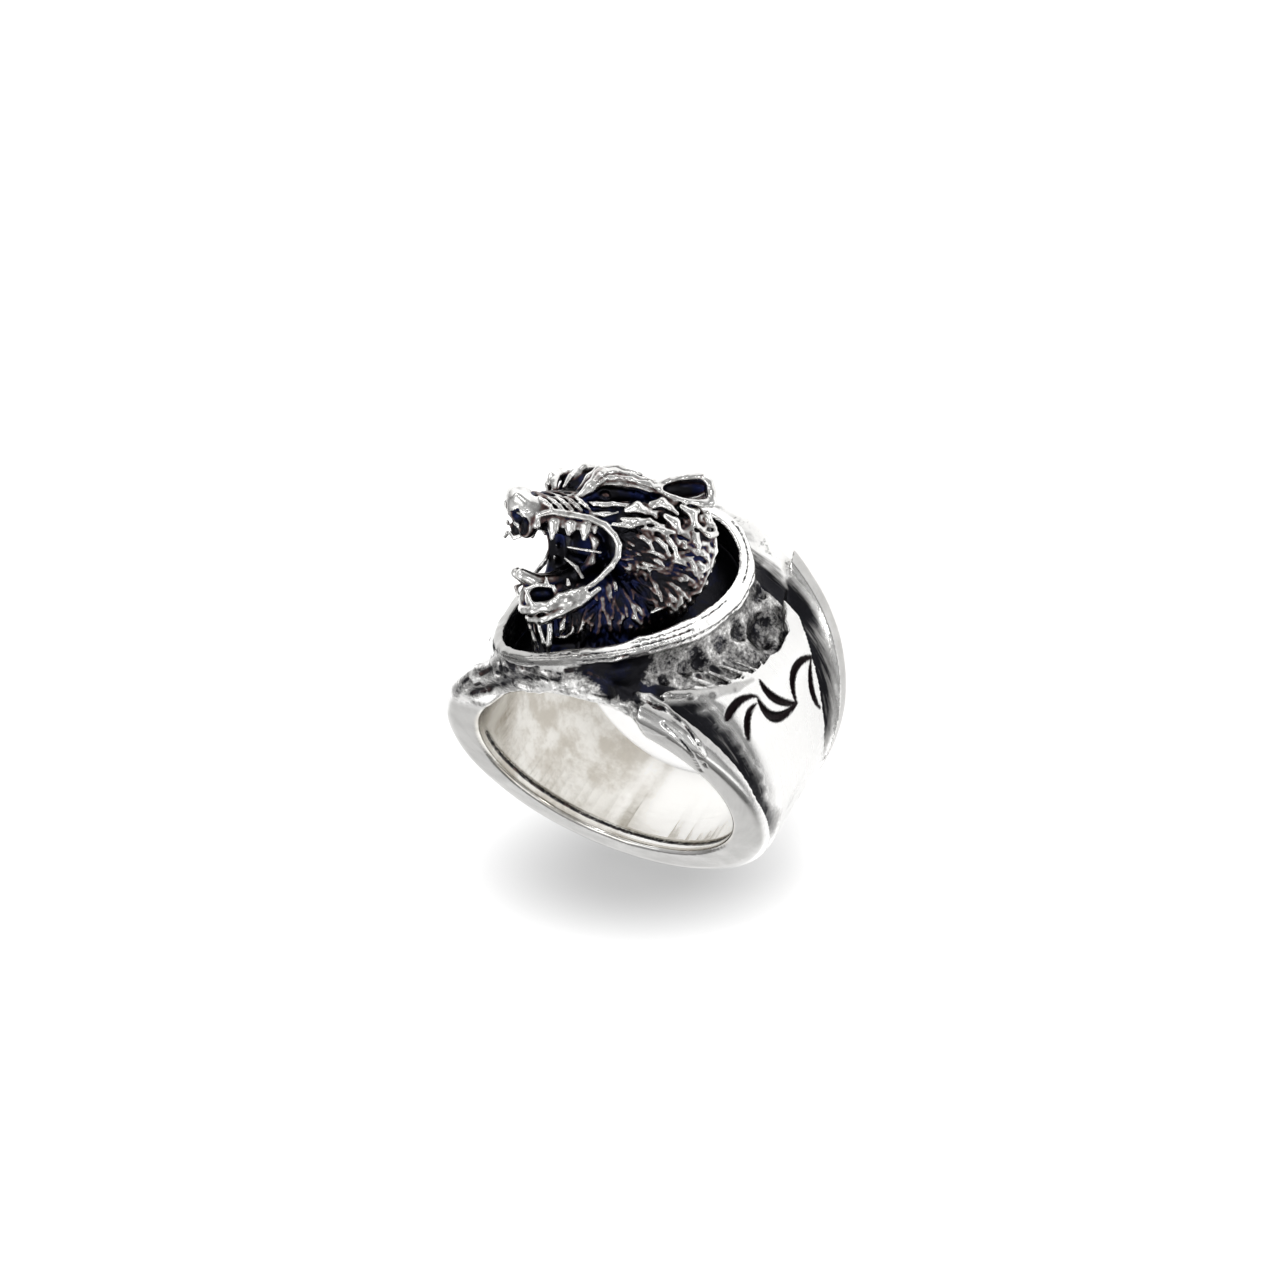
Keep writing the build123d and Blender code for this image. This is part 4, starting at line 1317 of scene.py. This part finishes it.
def place_head():
    """Sculpted head in place of its faceted solid."""
    clay = head_clay()
    corners, quads = net_of(clay)
    axes, middle = head_axes(), np.array(head_middle)
    piece = make_piece("sculpted_head", to_frame(corners @ axes + middle), quads, head_metal())
    own = (to_ring(corners_of(piece)) - middle) @ axes.T
    depth = np.hypot(*(own @ axes + middle).T[1:])
    raised = stands_out(clay, own, head_bulges)
    f, l, u = own.T
    from_mouth = np.hypot(f - fur_centre[0], u - fur_centre[1])
    on_cheek = smooth(4.6, 2.2, from_mouth) * smooth(3.6, 2.6, f) * smooth(2.6, 1.6, u)
    in_mouth = smooth(0.25, -0.15, np.abs(l) - 1.9) * smooth(2.4, 3.2, f)
    in_mouth = in_mouth * smooth(1.9, 1.2, u) * smooth(-2.2, -1.6, u)
    under_nose = smooth(7.4, 8.0, f) * smooth(2.9, 2.4, u) * (u > 0)
    low_cheek = smooth(-1.2, -3.2, u) * smooth(4.2, 3.4, f + 0.5 * (u + 3.5))
    on_muzzle = smooth(4.0, 5.0, f) * smooth(7.6, 6.8, f) * smooth(2.9, 3.3, u)
    in_cup = smooth(14.2, 12.0, depth)
    darker = 0.13 * on_muzzle + 0.25 * in_cup + 0.14 * on_cheek + 0.3 * in_mouth
    store(piece, "raised", raised - darker - 0.12 * under_nose - 0.12 * low_cheek)
    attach(piece, "root")
    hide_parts("wolf_head")


def dark_channels(x, y, z, rough):
    """Where the channels are dark, with painted shade over the front slope low down, and how much darker than
    other hollows their metal is.
    """
    back_open, back_share = back_groove(x, z)
    front_open, front_share, on_rail = front_groove(x, z)
    back_dark = back_open * smooth(-0.02, 0.04, back_share) * smooth(1.0, 0.8, back_share)
    front_dark = front_open * smooth(0.4, 0.62, front_share + 0.06 * rough) * (1 - on_rail)
    front_dark = front_dark * smooth(0.0, 0.15, below_lip(x, np.abs(y)))
    # Painted shade: the front slope greyer low down
    lower_slope_shade = 0.85 * front_open * smooth(0.5, -3.0, z) * smooth(-0.1, 0.35, front_share + 0.25 * rough)
    front_dark = np.maximum(front_dark, lower_slope_shade * (1 - on_rail) * (x > 0))
    darker = back_dark * (1.95 - 2.45 * back_share) + front_dark * (1.7 * front_share - 1.3)
    return np.maximum(back_dark, front_dark), darker


def cast_shades(places, clay, ground, web, rough):
    """How much brighter the melted ground and the web below the bezel are, with their dark places, painted
    grey shade and painted shade on the ground's far side.
    """
    black = darkened(places, clay.patches, 0.9, -0.4)
    # Painted grey shade between the bright edges
    grey = darkened(places, clay.greys, 0.6, 0.0)
    in_pit = darkened(places, pit_forms(), 0.1, -0.2) * ground
    # Painted shade: the melted ground darker on its far side (-y)
    far_side = ground * smooth(-1.0, -4.0, places[:, 1])
    brighter = 0.56 * ground * (1 - web) + 0.85 * web
    return brighter - black * (1 + 0.8 * rough) - 0.5 * grey - 0.3 * in_pit - 0.3 * far_side


def band_zones(piece, clay):
    """Numbers over the band that its material reads."""
    places = to_ring(corners_of(piece))
    x, y, z = places.T
    radius = np.hypot(y, z)
    width = half_band_width(z)
    rough = clay.at(places, clay.rough)
    ground = melted(x, np.abs(y), z, rough)
    channel, in_channel = dark_channels(x, y, z, rough)
    outside, along = to_bezel(x, y)
    in_bore = smooth(bore_radius + 0.35, bore_radius + 0.1, radius)
    on_flank = smooth(-0.25, -0.08, np.abs(x) - width)
    on_rim = smooth(rim_radius - 0.95, rim_radius - 0.6, radius) * smooth(0.75, 0.55, np.abs(outside))
    # Painted shade over the rim's end, which is greyed and darkened
    rim_end_shade = on_rim * smooth(3.0, 7.0, along)
    in_cup = smooth(-0.38, -0.5, outside) * smooth(rim_radius - 0.5, rim_radius - 0.9, radius) * (z > 0)
    web = smooth(-2.4, -1.5, x - width) * smooth(-11.2, -9.8, y) * smooth(5.3, 4.5, y) * smooth(5.6, 7.0, z)
    web = web * (1 - on_rim) * smooth(rim_radius - 0.3, rim_radius - 0.9, radius)
    outer = np.maximum(channel, ground * (1 - on_rim))
    outer = outer * (radius < strap_radius + 1.2) * (1 - on_flank * (z < 9.0))
    oxide = np.maximum.reduce([outer, in_cup, web]) * (1 - in_bore)
    store(piece, "channel", channel)
    store(piece, "oxide", oxide)
    raised = stands_out(clay, places, band_bulges) * (1 - 0.8 * channel)
    raised = raised - 1.2 * in_cup - in_channel - 0.9 * rim_end_shade
    store(piece, "raised", raised + cast_shades(places, clay, ground, web, rough))
    store(piece, "ink", darkened(places, crescent_forms(), 0.1, 0.03))
    # Painted shadow line along the shallow step inside the bore, kept with the oxide in the pits and creases
    on_step = in_bore * smooth(0.28, 0.1, np.abs(x - width + bore_step_width)) * smooth(3.0, 0.0, z)
    store(piece, "oxide_and_shadow_lines", np.maximum(darkened(places, oxide_and_shadow_forms(clay), 0.12, -0.06), 0.75 * on_step))
    # Painted warm shade over the bore's -y side and a patch near its front on the +y side; elsewhere the bore
    # keeps the polished colour
    bore_shaded = smooth(0.5, -4.0, y + 1.2 * rough) + 0.7 * smooth(4.5, 7.5, y) * smooth(3.0, 6.0, x)
    store(piece, "bore_shade_share", in_bore * np.clip(bore_shaded, 0, 1))
    # Painted shade: the rails and the rim's end greyer than the strap
    on_rail = np.maximum(on_flank, smooth(strap_radius + 0.02, strap_radius + 0.1, radius))
    store(piece, "grey_shading", np.maximum(on_rail * (1 - oxide) * (1 - on_rim), rim_end_shade))
    around = places / np.maximum(radius, 1)[:, None] * 0.35
    around[:, 0] = 0.3 * (x - 0.8 * radius)
    along_rim = np.stack([outside + 0.8 * radius, 0.12 * x, 0.12 * y], 1)
    store(piece, "brushed", np.where(on_rim[:, None] > 0.3, along_rim, around))


def darkened(places, forms, far, near):
    """1 inside the forms and 0 away from them."""
    shade = np.zeros(len(places))
    for low, high, distance in forms:
        close = np.all((places > low - far) & (places < high + far), 1)
        shade[close] = np.maximum(shade[close], smooth(far, near, distance(*places[close].T)))
    return shade


def pit_forms():
    """The round pits of the melted ground, on both sides of the ring."""
    forms = []
    for px, py, size, depth in melt_pits:
        for side in (1, -1):
            height = math.sqrt(ground_radius**2 - py**2) + size - depth
            forms.append(egg((px, side * py, height), (size, size, size)))
    return forms


def oxide_and_shadow_forms(clay):
    """Pits, folds, claw marks and creases that hold dark oxide, and the painted shadow line under the lip."""
    forms = clay.folds + claws(claw_marks, *mark_taper)
    for out, start, stop, height, size in rim_creases:
        forms += limbs_along(rim_path(out, start, stop, height), [0.65 * size] * rim_steps)
    # Painted shadow line under the lip
    under_lip = [(7.1, 7.45, 10.15), (5.4, 8.85, 9.0), (3.2, 9.8, 7.95)]
    return forms + limbs_along(under_lip, [0.03] * 3)


def place_band():
    """Sculpted band in place of its plain solid."""
    clay = band_clay()
    corners, quads = net_of(clay)
    piece = make_piece("sculpted_band", to_frame(corners), quads, band_metal())
    band_zones(piece, clay)
    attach(piece, "root")
    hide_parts("ring_band")


# Stage, light and camera, in metres
table_reach = 1.5  # from the middle to each side

# How bright the studio is, by the angle from the photographer and from straight up:
# two cosines between which it changes, and its strength at each
toward_viewer = ((0.75, 0.98), (1.0, 0.55))
toward_top = ((0.08, 0.45), (0.25, 0.62))

lamps = [
    # name, place, width and height, power
    ("key", (-0.12, 0.10, 0.55), (0.45, 0.45), 1.0),
    ("fill", (0.5, 0.25, 0.30), (0.4, 0.3), 0.5),
    ("side", (-0.40, -0.25, 0.25), (0.2, 0.35), 0.25),
    ("spark", (0.35, -0.15, 0.42), (0.09, 0.09), 0.3),
    ("spark_low", (0.05, -0.45, 0.28), (0.08, 0.08), 0.2),
]


def place_floor(height):
    """Wide white table under the ring, with its top at the given height."""
    mesh = bpy.data.meshes.new("table_top")
    corners = ((-1, -1), (1, -1), (1, 1), (-1, 1))
    spots = [(table_reach * x, table_reach * y, height) for x, y in corners]
    mesh.from_pydata(spots, [], [(0, 1, 2, 3)])
    mesh.materials.append(floor_paint())
    floor = bpy.data.objects.new("table_top", mesh)
    bpy.context.scene.collection.objects.link(floor)


def place_light(name, place, size, power):
    """Soft rectangular light that looks at the ring."""
    lamp = bpy.data.lights.new(name, "AREA")
    lamp.shape = "RECTANGLE"
    lamp.size, lamp.size_y = size
    lamp.energy = power
    light = bpy.data.objects.new(name, lamp)
    light.location = place
    light.rotation_euler = Vector(place).to_track_quat("Z", "Y").to_euler()
    bpy.context.scene.collection.objects.link(light)


def world_span(tree, spot, direction, turns, levels):
    """Brightness that changes softly with the angle from a direction."""
    facing = tree.nodes.new("ShaderNodeVectorMath")
    facing.operation = "DOT_PRODUCT"
    facing.inputs[1].default_value = Vector(direction).normalized()
    tree.links.new(spot, facing.inputs[0])
    shade = tree.nodes.new("ShaderNodeMapRange")
    shade.interpolation_type = "SMOOTHSTEP"
    for socket, value in zip(shade.inputs[1:5], turns + levels):
        socket.default_value = value
    tree.links.new(facing.outputs["Value"], shade.inputs["Value"])
    return shade.outputs[0]


def place_lights():
    """White studio, dimmer low down and where the photographer stands, with soft lights round it."""
    world = bpy.data.worlds.new("studio")
    world.use_nodes = True
    tree = world.node_tree
    back = tree.nodes["Background"]
    back.inputs["Color"].default_value = (1, 1, 1, 1)
    spot = tree.nodes.new("ShaderNodeTexCoord").outputs["Generated"]
    facing = world_span(tree, spot, camera_toward, *toward_viewer)
    rising = world_span(tree, spot, (0, 0, 1), *toward_top)
    both = tree.nodes.new("ShaderNodeMath")
    both.operation = "MULTIPLY"
    tree.links.new(facing, both.inputs[0])
    tree.links.new(rising, both.inputs[1])
    tree.links.new(both.outputs[0], back.inputs["Strength"])
    bpy.context.scene.world = world
    for row in lamps:
        place_light(*row)


def place_camera():
    """Camera where the photograph was taken from, in the frame."""
    lens = bpy.data.cameras.new("camera")
    lens.lens = camera_lens
    lens.sensor_width = camera_sensor
    lens.clip_start = 0.01
    camera = bpy.data.objects.new("camera", lens)
    turned = Matrix((camera_right, camera_up, camera_toward)).transposed().to_4x4()
    camera.matrix_world = Matrix.Translation(camera_place) @ turned
    bpy.context.scene.collection.objects.link(camera)
    bpy.context.scene.camera = camera


place_camera()
place_floor(cad_bounds[0][2])
place_lights()
place_head()
place_band()
bpy.context.scene.view_settings.view_transform = "Standard"
